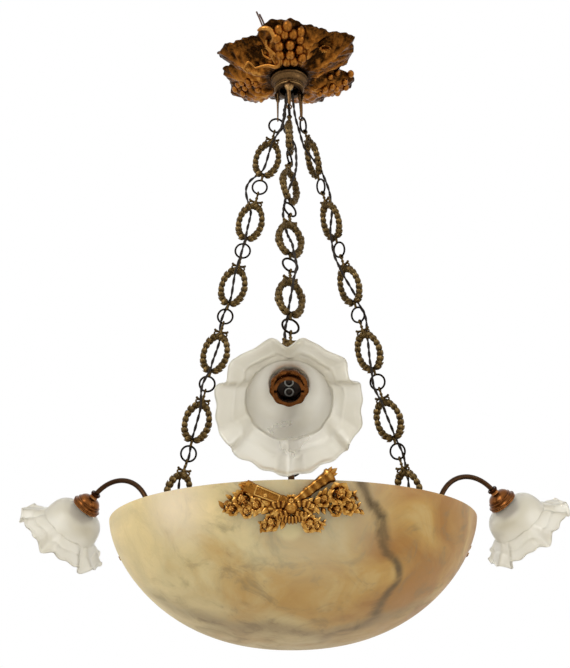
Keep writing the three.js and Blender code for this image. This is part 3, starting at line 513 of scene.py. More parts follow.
def vein_share(tree, across, along, curve, wobble, far, near, front):
    """How strongly a vein shows: in full nearer to its line than near, not at all beyond far, on the front.

    The vein's place across is a curve of its place along, both as shares of the bowl, bent by the wobble.
    """
    line = node(tree, "FloatCurve", inputs={"Value": along}, curve=curve)[0]
    gap = node(tree, "Math", {"operation": "SUBTRACT"}, {0: across, 1: line})[0]
    bent = node(tree, "Math", {"operation": "MULTIPLY_ADD"}, {0: wobble, 1: 0.2, 2: gap})[0]
    centred = node(tree, "Math", {"operation": "SUBTRACT"}, {0: bent, 1: 0.1})[0]
    away = node(tree, "Math", {"operation": "ABSOLUTE"}, {0: centred})[0]
    width = node(tree, "MapRange", {"interpolation_type": "SMOOTHSTEP"}, {0: away, 1: far, 2: near})[0]
    return node(tree, "Math", {"operation": "MULTIPLY"}, {0: width, 1: front})[0]


def veined_alabaster(look):
    """Turned and waxed alabaster: cream to honey clouds, grey smoke and one dark vein down the front.

    Places are in metres: the bowl's rim lies at z -0.642 and its bottom near -0.781, and +X is its right side
    as seen from the front. Layers of smoke, pale clouds and vein are mixed over the clouds' colour, and last
    a painted shade that darkens the bowl towards its bottom.
    """
    material, tree, place = fresh("veined_alabaster", {
        "IOR": 1.52, "Subsurface Weight": 0.22, "Subsurface Radius": (0.016, 0.010, 0.005),
        "Subsurface Scale": 0.6,
    })
    x, y, z = node(tree, "SeparateXYZ", inputs={0: place})
    clouds = node(tree, "TexNoise", inputs={
        "Vector": place, "Scale": 1 / (85 * MM), "Detail": 5.0, "Roughness": 0.55, "Distortion": 0.9,
    })["Fac"]
    smoke = node(tree, "TexNoise", inputs={
        "Vector": place, "Scale": 1 / (46 * MM), "Detail": 7.0, "Roughness": 0.66, "Distortion": 1.6,
    })["Fac"]
    lean = node(tree, "MapRange", inputs={0: x, 1: -0.21, 2: 0.21, 3: -0.28, 4: 0.34})[0]
    warmth = node(tree, "Math", {"operation": "ADD"}, {0: clouds, 1: lean})[0]
    base = node(tree, "ValToRGB", inputs={"Fac": warmth}, stops=[
        (0.12, look.cream), (0.86, look.honey), (0.42, look.pale), (0.66, look.amber),
    ])["Color"]
    front = node(tree, "MapRange", inputs={0: y, 1: -0.02, 2: -0.075})[0]
    across = node(tree, "MapRange", inputs={0: x, 1: 0.0, 2: 0.2})[0]
    depth = node(tree, "MapRange", inputs={0: z, 1: -0.782, 2: -0.642})[0]
    vein = vein_share(tree, across, depth, [
        (0.0, 0.1), (0.05, 0.165), (0.15, 0.415), (0.26, 0.49), (0.34, 0.53), (0.46, 0.54), (0.6, 0.5),
        (0.71, 0.46), (0.8, 0.435), (0.89, 0.39), (1.0, 0.34),
    ], clouds, 0.05, 0.004, front)
    wide = node(tree, "MapRange", inputs={0: x, 1: -0.2, 2: 0.2})[0]
    band = vein_share(tree, depth, wide, [
        (0.0, 0.5), (0.12, 0.37), (0.2, 0.25), (0.3, 0.15), (0.43, 0.09), (0.53, 0.04), (0.65, 0.1),
        (0.75, 0.2), (1.0, 0.45),
    ], clouds, 0.075, 0.0, front)
    ridge = node(tree, "Math", {"operation": "SUBTRACT"}, {0: smoke, 1: 0.5})[0]
    close = node(tree, "Math", {"operation": "ABSOLUTE"}, {0: ridge})[0]
    thread = node(tree, "MapRange", inputs={0: close, 1: 0.03, 2: 0.0, 4: 0.1})[0]
    smoky = node(tree, "MapRange", {"interpolation_type": "SMOOTHSTEP"}, {
        0: smoke, 1: 0.48, 2: 0.7, 4: 0.62,
    })[0]
    middle = node(tree, "MapRange", inputs={0: x, 1: -0.17, 2: -0.05, 3: 0.25, 4: 1.0})[0]
    hung = node(tree, "Math", {"operation": "MULTIPLY"}, {0: smoky, 1: middle})[0]
    most = node(tree, "Math", {"operation": "MAXIMUM"}, {0: hung, 1: thread})[0]
    grey = node(tree, "Math", {"operation": "MULTIPLY_ADD"}, {0: band, 1: 0.75, 2: most})[0]
    layers = [(grey, look.smoke)]
    for centre, far, near, strength, color in (
        ((0.02, -0.2, -0.672), 0.105, 0.03, 0.5, look.veil),
        ((-0.118, -0.17, -0.659), 0.06, 0.0, 0.55, look.bloom),
        ((-0.003, -0.197, -0.688), 0.018, 0.01, 0.6, look.patch),
    ):
        away = node(tree, "VectorMath", {"operation": "DISTANCE"}, {0: place, 1: centre})["Value"]
        limits = {0: away, 1: far, 2: near, 4: strength}
        layers.append((node(tree, "MapRange", {"interpolation_type": "SMOOTHSTEP"}, limits)[0], color))
    patchy = node(tree, "MapRange", inputs={0: smoke, 1: 0.35, 2: 0.6, 3: 0.6, 4: 1.0})[0]
    dark = node(tree, "Math", {"operation": "MULTIPLY"}, {0: vein, 1: patchy})[0]
    # Painted shade: the colour darkens towards the bowl's bottom, where shade falls.
    painted_shade_below = node(tree, "MapRange", inputs={0: depth, 1: 0.4, 2: 0.0, 4: 0.5})[0]
    shade = base
    for share, color in [*layers, (dark, look.vein), (painted_shade_below, look.soot)]:
        shade = node(tree, "Mix", {"data_type": "RGBA"}, {0: share, 6: shade, 7: color})[2]
    return fed(material, {
        "Base Color": shade,
        "Roughness": node(tree, "MapRange", inputs={0: smoke, 1: 0.3, 2: 0.7, 3: 0.34, 4: 0.48})[0],
        "Normal": node(tree, "Bump", inputs={"Strength": 0.1, "Distance": 0.6 * MM, "Height": smoke})[0],
    })


def finish(maker):
    """The finish that a maker gives, made once and shared by every piece that has it."""
    return bpy.data.materials.get(maker.__name__) or maker(finishes())


# From forms to pieces

def put(name, form, maker, body, replaced=(), sharp=48):
    """A mesh object at the origin from a form, riding on its body, in place of the frame's nodes."""
    mesh = bpy.data.meshes.new(name)
    mesh.from_pydata((form.points * MM).tolist(), [], form.quads.tolist() + form.tris.tolist())
    height = mesh.attributes.new("crest", "FLOAT", "POINT")
    height.data.foreach_set("value", form.crest.astype(np.float32))
    mesh.shade_smooth()
    mesh.set_sharp_from_angle(angle=np.radians(sharp))
    mesh.materials.append(finish(maker))
    made = bpy.data.objects.new(name, mesh)
    bpy.context.scene.collection.objects.link(made)
    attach(made, body)
    if replaced:
        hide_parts(*replaced)
    return made


def dress(names, maker):
    """Gives the frame's own nodes their finish."""
    for name in names:
        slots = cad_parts[name].data.materials
        slots.clear()
        slots.append(finish(maker))


# Bowl

def bowl_share(t):
    """Radius of the bowl at a share t of its depth, as a share of its rim: (1 - t^1.576)^(1 / 2.291)."""
    return np.clip(1 - np.clip(t, 0, 1) ** 1.576, 0, 1) ** (1 / 2.291)


def bowl_form(radius, depth, wall):
    """The turned bowl: an outer and an inner curve of one law, joined by a rounded rim."""
    t = np.sin(np.linspace(0.09, 1.566, 70)) ** 2
    outer = np.stack([radius * bowl_share(t), -depth * t], -1)
    t = np.sin(np.linspace(1.566, 0.12, 50)) ** 2
    inner = np.stack([(radius - wall) * bowl_share(t), -(depth - wall) * t], -1)
    a = np.linspace(0, np.pi, 9)[:, None]
    middle, half = radius - wall / 2, wall / 2
    lip = np.concatenate([middle - half * np.cos(a) ** 3 * 0.985, -1.6 + 1.5 * np.sin(a)], 1)
    return lathe(np.concatenate([inner, lip, outer]), 160)


# Canopy

def canopy_edge(azimuth):
    """The casting's edge: straight spans between the outline's corners, bitten by leaf teeth of two sizes."""
    share = np.interp(azimuth, CANOPY_OUTLINE[:, 0], CANOPY_OUTLINE[:, 1], period=360)
    a = np.radians(azimuth)
    teeth = 2.0 * np.sin(17 * a + 1.5 * np.sin(5 * a)) + 1.2 * np.sin(39 * a + 2 * np.sin(7 * a))
    return CANOPY_RADIUS * share - 1.5 + teeth


def canopy_under(x, y):
    """Height and crest of the underside: a shallow dome with radial leaves, midribs and slanting veins."""
    reach = np.hypot(x, y)
    azimuth = np.degrees(np.arctan2(x, -y))
    edge = canopy_edge(azimuth)
    share = np.clip((reach - CANOPY_BOSS) / (edge - CANOPY_BOSS), 0, 1)
    swell = 4 * np.sin(np.pi * share) * ((edge / CANOPY_RADIUS - 0.9) / 0.12)
    relief = np.zeros_like(reach)
    for centre, half in CANOPY_LEAVES:
        away = (azimuth - centre + 180) % 360 - 180
        inside = np.clip(1 - (away / half) ** 2, 0, 1)
        off = np.abs(reach * np.sin(np.radians(away)))
        rib = np.exp(-((off / 2.2) ** 2))
        veins = np.cos(2 * np.pi * (reach - 0.9 * off) / 12) * np.clip(off / 6, 0, 1)
        relief = np.maximum(relief, inside * (2.6 + 1.8 * rib + 1.2 * veins))
    flat = np.stack([x, y, 0 * x], -1)
    relief = (relief + 1.7 * lumps(flat, 21, 4) + 0.6 * lumps(flat, 9, 5)) * np.clip(share * 5, 0, 1)
    height = -(3 + 23.4 * (1 - share ** 1.6) + swell + relief - 1.2)
    return height, np.clip(relief / 5.5 * (1.25 - share ** 3), 0, 1)


def canopy_shell():
    """The casting as a closed skin: the underside over a polar grid, and a plain face 3 mm above it."""
    azimuth = np.linspace(-180, 180, 360, endpoint=False)
    shares = np.append([-0.35, -0.15], np.linspace(0, 1, 44))[:, None]
    spread = CANOPY_BOSS + (canopy_edge(azimuth) - CANOPY_BOSS) * shares
    reach = np.maximum(spread, 9 + 20 * (shares + 0.35))
    x, y = reach * np.sin(np.radians(azimuth)), -reach * np.cos(np.radians(azimuth))
    low, crest = canopy_under(x, y)
    low = np.minimum(low, -0.9)
    under = np.stack([x, y, low], -1)
    over = np.stack([x, y, np.minimum(-0.2, low + 3)], -1)[::-1]
    return skin(np.concatenate([under, over]), np.concatenate([crest, 0 * crest]), loop=True)


def bunch(places, radius, sink):
    """Grapes hung from the underside, each a ball a little below the casting's face."""
    low, _ = canopy_under(places[:, 0], places[:, 1])
    ball = bead(radius, 1.0, 11, 16).at(np.diag([0.92, 1.1, 1.0, 1.0]) @ turn("X", 180))
    return copies(ball, frames(np.column_stack([places, np.minimum(low, -radius) - sink])))


def tendril(places, radius, height):
    """A vine tendril laid on the underside: a tapering tube along a smooth line through its places."""
    flat = np.asarray(places, float)
    low, _ = canopy_under(flat[:, 0], flat[:, 1])
    path = spline(np.column_stack([flat, low - height]), 60)
    taper = radius * (1 - 0.6 * np.linspace(-1, 1, 60) ** 2)
    return tube(path, taper, 10, crest=0.9)


def canopy_form():
    """The shell with both sizes of grapes, four tendrils and the flower."""
    flower = np.array([[49.0, -55.0]])
    low, _ = canopy_under(*flower.T)
    return together([
        canopy_shell(),
        bunch(GRAPES, 7.3, 0.4),
        bunch(SMALL_GRAPES, 5.2, 0.3),
        tendril([[-40, -80], [-34, -85], [-24, -86], [-19, -79], [-23, -69]], 3.6, 2),
        tendril([
            [-29, -70], [-29, -62], [-22, -55], [-13, -49], [-11, -41], [-17, -33], [-29, -30], [-46, -27],
        ], 3.4, 1.6),
        tendril([[-33, -52], [-28, -57], [-22, -50], [-25, -42], [-33, -42], [-36, -48]], 2.2, 0.8),
        tendril([[-46, -27], [-54, -33], [-60, -26], [-56, -18]], 2.4, 1),
        rose(9, 5).at(shift(*flower[0], low[0]) @ turn("X", 180)),
    ])


# Crown

def crown_form():
    """A flared bell with a moulded foot, and for each chain a strap with an eye, and a tongue."""
    profile = [
        [5.8, -26.8], [25, -26.8], [26, -27.4], [26, -29], [24.8, -30.2], [23.6, -31], [22.4, -33.2],
        [21, -35.6], [19.6, -37.2], [19.4, -38.4], [20.4, -39.2], [20.6, -40.4], [19.6, -41.2], [20.2, -42],
        [20.2, -43.4], [19, -44.6], [13, -44.6], [13.4, -43], [17, -30.6], [16, -29.6], [5.8, -29.6],
    ]
    worn = [0, 0.3, 0.9, 0.7, 0.1, 0.6, 0.6, 0.5, 0.1, 0.2, 0.9, 0.9, 0.1, 0.8, 0.9, 0.4, 0, 0, 0, 0, 0]
    path = spline([[-1.5, 0, -40], [-1.4, 0, -46], [-0.6, 0, -58], [0, 0, -70], [0, 0, -79.6]], 24)
    strap = tube(path, np.interp(np.arange(24), [0, 8, 23], [3.6, 2.9, 2.0]), 12, (0, 1, 0), 0.55, 0.7)
    eye = hoop(3.0, 1.05, crest=0.6).at(shift(0, 0, -83.1) @ turn("Z", 90))
    parts = [lathe(profile, 64, loop=True, crest=np.array(worn)[:, None])]
    for side in AZIMUTHS:
        place = third(side) @ shift(HOOK_REACH, 0, 0) @ turn("Z", CHAIN_TURNS[side][0])
        tongue = leaf(18, 13, 4, -0.04, 9, 12).at(third(side) @ shift(19.4, 0, -41.6) @ turn("Y", 90))
        parts += [strap.at(place), eye.at(place), tongue]
    return together(parts)


# Chains

def ring_turns(side):
    """A ring between two wreaths stands half way between their turns; the first and last have their own."""
    turns = CHAIN_TURNS[side]
    between = [(turns[k] + turns[k - 1]) / 2 for k in range(1, 6)]
    return [turns[0], *between, turns[6]]


def wreath_oval(a, lift=0.0):
    """Points of the wreath's oval at angles a from its top, lifted off its plane."""
    return np.stack([lift + 0 * a, WREATH_WIDE * np.sin(a), WREATH_TALL * np.cos(a)], -1)


def wreath_leaves():
    """Laurel leaves up both sides of the oval, six round each of nine stations."""
    grids = np.meshgrid([-1, 1], np.arange(9), np.radians([0, 62, 118, 180, 242, 298]))
    side, station, around = (grid.ravel() for grid in grids)
    around = around + 0.5 * (station % 2)
    a = np.pi - side * (0.08 + station * WREATH_STEP)
    zero = 0 * a
    upward = unit(np.stack([zero, -side * WREATH_WIDE * np.cos(a), side * WREATH_TALL * np.sin(a)], -1))
    away = unit(np.stack([zero, WREATH_TALL * np.sin(a), WREATH_WIDE * np.cos(a)], -1))
    out = np.cos(around)[:, None] * away + np.sin(around)[:, None] * np.array([1.0, 0, 0])
    splay = np.radians(7 + 7 * np.sin(7.3 * station + 2.1 * around + side))[:, None]
    ahead = np.cos(splay) * upward + np.sin(splay) * out
    face = np.cos(splay) * out - np.sin(splay) * upward
    axes = np.stack([ahead, np.cross(face, ahead), face], -1)
    return copies(leaf(9.6, 6.0, 3.0, 0.0, 7, 6), frames(wreath_oval(a) + 1.9 * out, axes))


def wreath_berries():
    """Berries between the leaves on both faces of the wreath, at every other station."""
    grids = np.meshgrid([-1, 1], np.arange(1, 8, 2), [-1, 1])
    side, station, face = (grid.ravel() for grid in grids)
    a = np.pi - side * (0.3 + station * WREATH_STEP)
    return copies(bead(1.5, 1.0, 5, 6), frames(wreath_oval(a, 3.4 * face)))


def wreath_form():
    """One wreath without its eye and ring: core, leaves, berries, bow with upturned tails, stem and foot."""
    core = tube(wreath_oval(np.arange(44) * 2 * np.pi / 44), 2.5, 8, (1, 0, 0), crest=0.0, loop=True)
    oval = together([core, wreath_leaves(), wreath_berries()]).at(shift(0, 0, -WREATH_DROP))
    tails = spline([
        [0, -9.6, -19.6], [0, -6, -21], [0, -2, -21.8], [0, 2, -21.8], [0, 6, -21], [0, 9.6, -19.6],
    ], 26)
    share = np.abs(np.linspace(-1, 1, 26))
    bow = [tube(tails, 1.35 + 0.35 * (share > 0.8) - 0.9 * (share > 0.98), 8, (1, 0, 0), 1.2, 0.7)]
    for way in (-1, 1):
        loop = spline([
            [0, 0, -22.6], [0.4, 4 * way, -25.6], [0.6, 8 * way, -25.4], [0.4, 7.6 * way, -22.6],
            [0, 2 * way, -21.8],
        ], 20)
        bow.append(tube(loop, 1.15, 8, (1, 0, 0), 1.4, 0.8))
    stem = lathe([
        [1.2, -12.3], [1.3, -14], [1.7, -15.4], [2.3, -16.6], [1.6, -17.8], [1.4, -19], [2.4, -21],
        [2.6, -23], [1.8, -26.5], [1.6, -28.4],
    ], 10, crest=0.75)
    foot = lathe([
        [1.9, -73.4], [2.6, -75.4], [1.8, -77.4], [1.6, -80], [2.0, -81.4], [1.6, -83],
    ], 10, crest=0.6)
    return together([oval, *bow, stem, foot])


def link_form(base, above, below, wire):
    """A wreath with the eye that hangs in the ring above and the ring that its foot holds."""
    eye = hoop(2.5, 1.3, 8, 18, 0.6).at(shift(0, 0, -10.0) @ turn("Z", above + 90))
    ring = hoop(RING_RADIUS, wire).at(shift(0, 0, -CHAIN_PITCH) @ turn("Z", below))
    return together([base, eye, ring])


def flex_path(side, count):
    """The flex's middle line in the chain's frame, turned with the wreaths that it is laced through.

    A route's row is a point's place down the chain, along a wreath's width and off its face. The rows were
    set out at their own pitch, and are drawn in to the chain's.
    """
    down, along, across = np.array(FLEX_ROUTES[side], float).T
    down = down - np.clip(down, 0, 6 * FLEX_ROUTE_PITCH) * (1 - CHAIN_PITCH / FLEX_ROUTE_PITCH)
    middles = FIRST_RING_DROP + WREATH_DROP + CHAIN_PITCH * np.arange(6)
    angle = np.radians(np.interp(down, np.append(middles, 6 * CHAIN_PITCH), CHAIN_TURNS[side]))
    x = across * np.cos(angle) - along * np.sin(angle)
    y = across * np.sin(angle) + along * np.cos(angle)
    return spline(np.stack([x, y, -down], -1), count)


def twisted(path, radius, pitch, spread, up):
    """Two insulated strands round one line: each strand's line circles it once in every pitch."""
    side, over = square(path, up)
    strands = []
    for start in (0, np.pi):
        a = (2 * np.pi * distances(path) / pitch + start)[:, None]
        strands.append(tube(path + spread * (np.cos(a) * side + np.sin(a) * over), radius, 7, up))
    return together(strands)


# Arms, cups, lampholders, shades

def arm_line():
    """The arm as (out, up): a sweep of 50 mm radius, a straight run, and a bend of 54.5 mm over and down."""
    rise, fall = np.radians(ARM_RISE), np.radians(ARM_FALL)
    sweep = np.linspace(0, np.pi / 2 - rise, 12)[:, None]
    first = np.concatenate([ARM_REACH + 50 * (1 - np.cos(sweep)), -1 + 50 * np.sin(sweep)], 1)
    start = first[-1] + 42.9 * np.array([np.cos(rise), np.sin(rise)])
    bend = np.linspace(rise, -fall, 30)[:, None]
    over = 54.5 * np.concatenate([np.sin(rise) - np.sin(bend), np.cos(bend) - np.cos(rise)], 1)
    return np.concatenate([first, start + over])


def past_bend(run):
    """The point (out, up) that lies a run past the arm's bend, on its slope."""
    fall = np.radians(ARM_FALL)
    return arm_line()[-1] + run * np.array([np.cos(fall), -np.sin(fall)])


def arm_path():
    """Up out of the bowl, along the arm's line, and straight on into the cup."""
    foot = [[ARM_REACH, -16.6], [ARM_REACH, -9]]
    out, up = np.concatenate([foot, arm_line(), [past_bend(7.5)]]).T
    return spline(np.stack([out, 0 * out, up], -1), 110)


def arm_form():
    """The drawn tube of the arm, with a turned collar where it leaves the bracket."""
    pipe = tube(arm_path(), 3.3, 18, (0, 1, 0), crest=0.45)
    collar = lathe([
        [3.4, -4.5], [5.6, -4.5], [6, -3.6], [5.2, -2.6], [5.6, -1.6], [4.4, -0.4], [4, 1.2], [3.4, 1.6],
    ], 28, loop=True, crest=0.7)
    return together([pipe, collar.at(shift(ARM_REACH, 0, 0))])


def cup_form():
    """The spun gallery cup: beaded collar, stepped shoulder and a reeded rim over the glass."""
    profile = [
        [4.1, -7], [5.9, -7], [6.6, -6.2], [6.6, -4], [5.9, -3.2], [5.3, -2.6], [5.3, 0.2], [6, 1],
        [8.6, 1.6], [11.4, 3], [13.6, 5.2], [14.9, 7.6], [15.4, 8.5], [16.5, 9], [16.5, 10], [16.9, 11.6],
        [18, 12.9], [19, 13.8], [19, 15.2], [18.4, 15.8], [19, 16.4], [19, 17.6], [18.4, 18], [17.3, 18],
        [17.3, 12.8], [6.6, 2.1], [4.1, 2.1],
    ]
    worn = [
        0, 0, 0, 0, 0, 0.6, 0.9, 0.3, 0.5, 0.6, 0.7, 0.5, 0.1, 0.8, 0.2, 0.5, 0.5, 0.3, 0.9, 0.1, 0.8, 0.7,
        0.1, 0, 0, 0, 0,
    ]
    shell = lathe(profile, 72, loop=True, crest=np.array(worn)[:, None])
    places = polar(18.9, np.arange(44) * 2 * np.pi / 44, 14.2)
    return together([shell, copies(bead(0.8, 1.0, 5, 6), frames(places))])


def wall_arc(inner, outer, low, high, start):
    """One of the two walls round a lampholder's mouth: its section carried round 168.8 degrees."""
    a = np.radians(np.linspace(start, start + 168.8, 26))[:, None]
    return skin(polar(np.array([inner, outer, outer, inner]), a, np.array([low, low, high, high])), 0.3)


def holder_form(entry):
    """The lampholder's barrel: cap, rolled grooves, and two walls that leave the slots for the pins."""
    body = lathe([
        [entry, 2.7], [6.4, 2.7], [9, 4.6], [12, 7.4], [13.2, 9.6], [13.3, 12], [12.8, 12.6], [13.3, 13.2],
        [13.3, 21.6], [12.9, 22.2], [13.3, 22.8], [13.3, 25], [11.2, 25], [11.2, 20.3], [0.4, 20],
        [0.4, 4.9], [entry, 4.9],
    ], 48, loop=True, crest=0.3)
    walls = [wall_arc(11.2, 13.3, 24.9, 33.2, start) for start in (95.6, 275.6)]
    lips = [wall_arc(10.9, 13.8, 32.8, 34, start) for start in (95.6, 275.6)]
    return together([body, *walls, *lips])


def ring_form():
    """The shade ring: a plain bore on the holder and nine soft grips, cosine flutes, on its outer wall."""
    profile = [
        [13.7, 23.3], [16.6, 23.3], [17.3, 23.8], [17.4, 25.8], [17.3, 27.8], [16.6, 28.3], [13.7, 28.3],
        [13.7, 25.8],
    ]
    grips = np.array([0, 0, 0.5, 0.6, 0.5, 0, 0, 0])[:, None]
    return lathe(profile, 72, loop=True, crest=0.35, ripple=grips, waves=9)


def contact_form():
    """The insulator's floor in the barrel and the two contact sleeves that stand on it."""
    floor = lathe([[0.3, 20.1], [11, 20.1], [11, 21.4], [8, 21.8], [0.3, 21.9]], 36)
    sleeve = lathe([[2.9, 21.4], [4.4, 21.4], [4.5, 24], [4.2, 24.6], [3.1, 24.6], [2.9, 24]], 28, loop=True)
    return floor, together([sleeve.at(shift(way * 4.8, 0, 0)) for way in (-1, 1)])


def shade_form(swell, droop, wall):
    """The ruffled shade: a bell curve turned about its axis whose last part opens in six folded-back petals.

    Each petal spans 60 degrees. Its edge runs straight between two corners, at 1 / cos of the angle from its
    middle, less 1 and over 0.0711 to come to 1 at 21 degrees, and falls off to a notch on both sides. Rolled
    ribs run round the lip and half way out.
    """
    knots = spline([
        [15.45, 13.2], [15.45, 17.6], [17.2, 20.6], [22.5, 23.6], [29.5, 27.6], [34.2, 34], [36.6, 42],
        [37.6, 48], [38.8, 52.5], [43.5, 57.5], [49.5, 62.5], [55, 67], [59.5, 71],
    ], 96)
    a = np.arange(360) * 2 * np.pi / 360
    away = np.abs((np.degrees(a) % 60) - 30)
    corner = (1 / np.cos(np.radians(np.minimum(away, 21))) - 1) / 0.0711
    fall = np.clip((away - 16) / 14, 0, 1)
    notch = fall * fall * (3 - 2 * fall)
    opened = np.clip((knots[:, 1:] - 49) / 22, 0, 1)
    wave = opened ** 1.3
    folds = np.sin(np.pi * opened) * np.sin(12 * a + 1.1 * np.sin(6 * a))
    folds = folds + 0.7 * opened ** 2 * np.cos(18 * a + 1)
    ribs = np.exp(-(((opened - 0.09) / 0.05) ** 2)) + 0.8 * np.exp(-(((opened - 0.5) / 0.07) ** 2))
    reach = knots[:, :1] + wave * (0.3 * swell + 0.9 * swell * corner - 1.45 * swell * notch) + folds
    height = knots[:, 1:] + wave * droop * (1.3 * notch + 0.3 * (1 - corner) - 0.3) + 1.3 * folds
    height = height + 1.5 * ribs - 2.0 * np.clip((opened - 0.8) / 0.2, 0, 1) ** 2
    middle = polar(reach, a, height)
    down = np.gradient(middle, axis=0)
    around = np.roll(middle, -1, 1) - np.roll(middle, 1, 1)
    normal = unit(np.cross(around, down))
    thick = (wall / 2 * (1 - 0.2 * opened + 0.35 * np.clip((opened - 0.9) / 0.1, 0, 1)))[:, :, None]
    lip = middle[-1:] + unit(down[-1:]) * thick[-1:] * 0.9
    grid = np.concatenate([middle + normal * thick, lip, (middle - normal * thick)[::-1]])
    return skin(grid, 0.5, loop=True)


# Rim mounts, laid out flat as (side, up, relief) and then wrapped on the bowl

def wrapped(form):
    """Lays a flat form on the bowl: side becomes an angle, up a height, relief a distance off the face."""
    side, up, relief = form.points.T
    reach = BOWL_RADIUS * bowl_share(np.clip(-up, 0, None) / BOWL_DEPTH) + 1.4 + relief
    return outward(form._replace(points=polar(reach, side / BOWL_RADIUS, up)))


def laid_leaf(size, curl, place, heading, tilt=0):
    """A leaf of (length, width, thickness) in the mount's plane, its tip tilted off it."""
    return leaf(*size, curl, 6, 8).at(shift(*place) @ turn("Z", heading) @ turn("Y", -tilt))


def sprig(start, end, count, spread, size, seed):
    """Leaves set alternately along a line in the mount's plane, splayed to both sides and lifted a little."""
    rng = np.random.default_rng(seed)
    start, end = np.array(start, float), np.array(end, float)
    heading = np.degrees(np.arctan2(*(end - start)[::-1]))
    leaves = []
    for k in range(count):
        place = start + (end - start) * (k + 0.5) / count
        way = (-1) ** k * (spread + rng.uniform(-24, 20))
        grown = size * rng.uniform(0.75, 1.2) * (1 - 0.35 * k / count)
        lift = 2.4 + rng.uniform(0, 2.6)
        leaves.append(laid_leaf((grown, grown * 0.55, 3.0), 0.14, (*place, lift), heading + way, 14))
    line = spline([[*start, 2.2], [*((start + end) / 2), 3], [*end, 2]], 16)
    return together([*leaves, tube(line, np.linspace(1.7, 0.9, 16), 8)])


def torch_form():
    """A fluted torch that flares from the knot to its flames, and its turned tail below."""
    a = np.linspace(0, 1, 40)
    path = np.stack([37.5 * a, MOUNT_KNOT + 29 * a, 5 + 0 * a], -1)
    flutes = np.cos(40 * a)
    flare = 3.6 + 3.2 * a ** 1.6 + 0.9 * (np.abs(a - 0.4) < 0.04) + 1.0 * (a > 0.93) + 0.14 * flutes
    torch = tube(path, flare, 16, (0, 0, 1), 0.8, (0.6 + 0.3 * flutes)[:, None])
    tail = tube([[0, MOUNT_KNOT, 3.6], [-8, -33, 3.4], [-14, -37.6, 3]], np.array([2.8, 2.4, 1.6]), 10)
    flames = [
        laid_leaf((size, size * 0.55, 4), 0.05, (34.5, 1.4, 5), heading, 8)
        for heading, size in ((12, 10), (39, 12), (66, 10))
    ]
    return together([torch, tail, *flames])


def quiver_form():
    """A quiver with a framed panel and three arrow heads, and a fletched shaft below the knot."""
    a = np.linspace(0, 1, 40)
    path = np.stack([-43 * a, MOUNT_KNOT + 18 * a, 5 + 0 * a], -1)
    case = 5.0 + 1.6 * a + 0.9 * (a > 0.88) + 0.8 * (np.abs(a - 0.2) < 0.05)
    quiver = tube(path, case, 16, (0, 0, 1), 0.65, 0.6)
    along, across = np.array([-0.922, 0.387, 0]), np.array([0.387, 0.922, 0])
    corners = np.array([[13, -3.4], [36, -4.2], [36, 4.2], [13, 3.4]])
    corners = np.array([0, MOUNT_KNOT, 8.4]) + corners[:, :1] * along + corners[:, 1:] * across
    steps = np.linspace(0, 4, 40, endpoint=False)
    spot, part = steps.astype(int), (steps % 1)[:, None]
    border = corners[spot] * (1 - part) + corners[(spot + 1) % 4] * part
    panel = tube(border, 0.8, 8, (0, 0, 1), crest=1.0, loop=True)
    arrows = [laid_leaf((12, 5, 3.4), 0.0, (-39 + 2 * k, -9 + 3 * k, 5), 157 + 12 * k) for k in (-1, 0, 1)]
    shaft = tube([[0, MOUNT_KNOT, 4], [20, -38, 3.8], [32, -46, 3.2]], np.array([1.6, 1.5, 1.4]), 8)
    fletching = [laid_leaf((11, 4.6, 2.4), 0.0, (25, -41.6, 3.6), -34 + way, 4) for way in (-24, 0, 24)]
    return together([quiver, panel, *arrows, shaft, *fletching])


def ribbon(knots, width, fold, flat):
    """A flat ribbon along a smooth line, with folds across it."""
    folds = np.cos(np.arange(40) * 1.5)
    return tube(spline(knots, 40), width + fold * folds, 10, (0, 0, 1), flat, (0.5 + 0.5 * folds)[:, None])


def bow_form():
    """The tied ribbon: a knot, an arc below it, two loops and two tails."""
    arc = [[-13, -35, 3.4], [-7, -38.4, 5.4], [0, -39.6, 6.2], [7, -38.4, 5.4], [13, -35, 3.4]]
    parts = [bead(6.2, 0.8, 9, 14).at(shift(0, -29, 5.6)), ribbon(arc, 3.5, 0.6, 0.7)]
    for way in (-1, 1):
        loop = [
            [0, -30, 5.4], [9 * way, -25.6, 7.6], [19 * way, -28, 6.4], [16 * way, -35, 5],
            [4 * way, -34, 5.4],
        ]
        tail = [[2 * way, -34, 4.4], [9 * way, -38, 5], [16 * way, -41, 4.4], [23 * way, -46.6, 3]]
        parts += [ribbon(loop, 3.3, 0.55, 0.7), ribbon(tail, 2.9, 0.5, 0.6)]
    return together(parts)


def mount_form():
    """Crossed torch and quiver, garlands with roses to both sides, and a tied ribbon below, on the bowl."""
    flowers = [
        (-46, -20.6, 12, 8), (46, -16, 13, 8.5), (56, -27, 9.5, 6.5), (-58, -27.6, 8, 5.5), (-34, -26, 9, 6),
        (31, -21, 9, 6.5), (-20, -41.6, 9.5, 6.5), (18, -43, 9.5, 6.5), (0, -23.5, 8, 7), (-24, -18, 7, 5.5),
        (44, -30, 8, 5.5), (-44, -31, 7.5, 5), (20, -28, 7, 5.5), (-27, -44.6, 6, 4.5), (26, -45, 6, 4.5),
    ]
    garlands = [
        ((-6, -27), (-68, -27), 20, 46, 12.5), ((-28, -17), (-62, -19.6), 9, 40, 10.5),
        ((6, -26), (69, -28), 20, 46, 12.5), ((28, -20), (64, -16), 10, 44, 11),
        ((-6, -38), (-31, -44), 9, 48, 10), ((6, -39), (32, -43.4), 9, 48, 10),
    ]
    roses = [rose(size, height).at(shift(x, y, 4.4)) for x, y, size, height in flowers]
    sprigs = [sprig(*garland, seed) for seed, garland in enumerate(garlands, 1)]
    return wrapped(together([torch_form(), quiver_form(), bow_form(), *roses, *sprigs]))


# Settings

def tint(name, text, code):
    return FloatVectorProperty(
        name=name, description=text, subtype="COLOR", size=4, min=0, max=1, default=linear(code)
    )


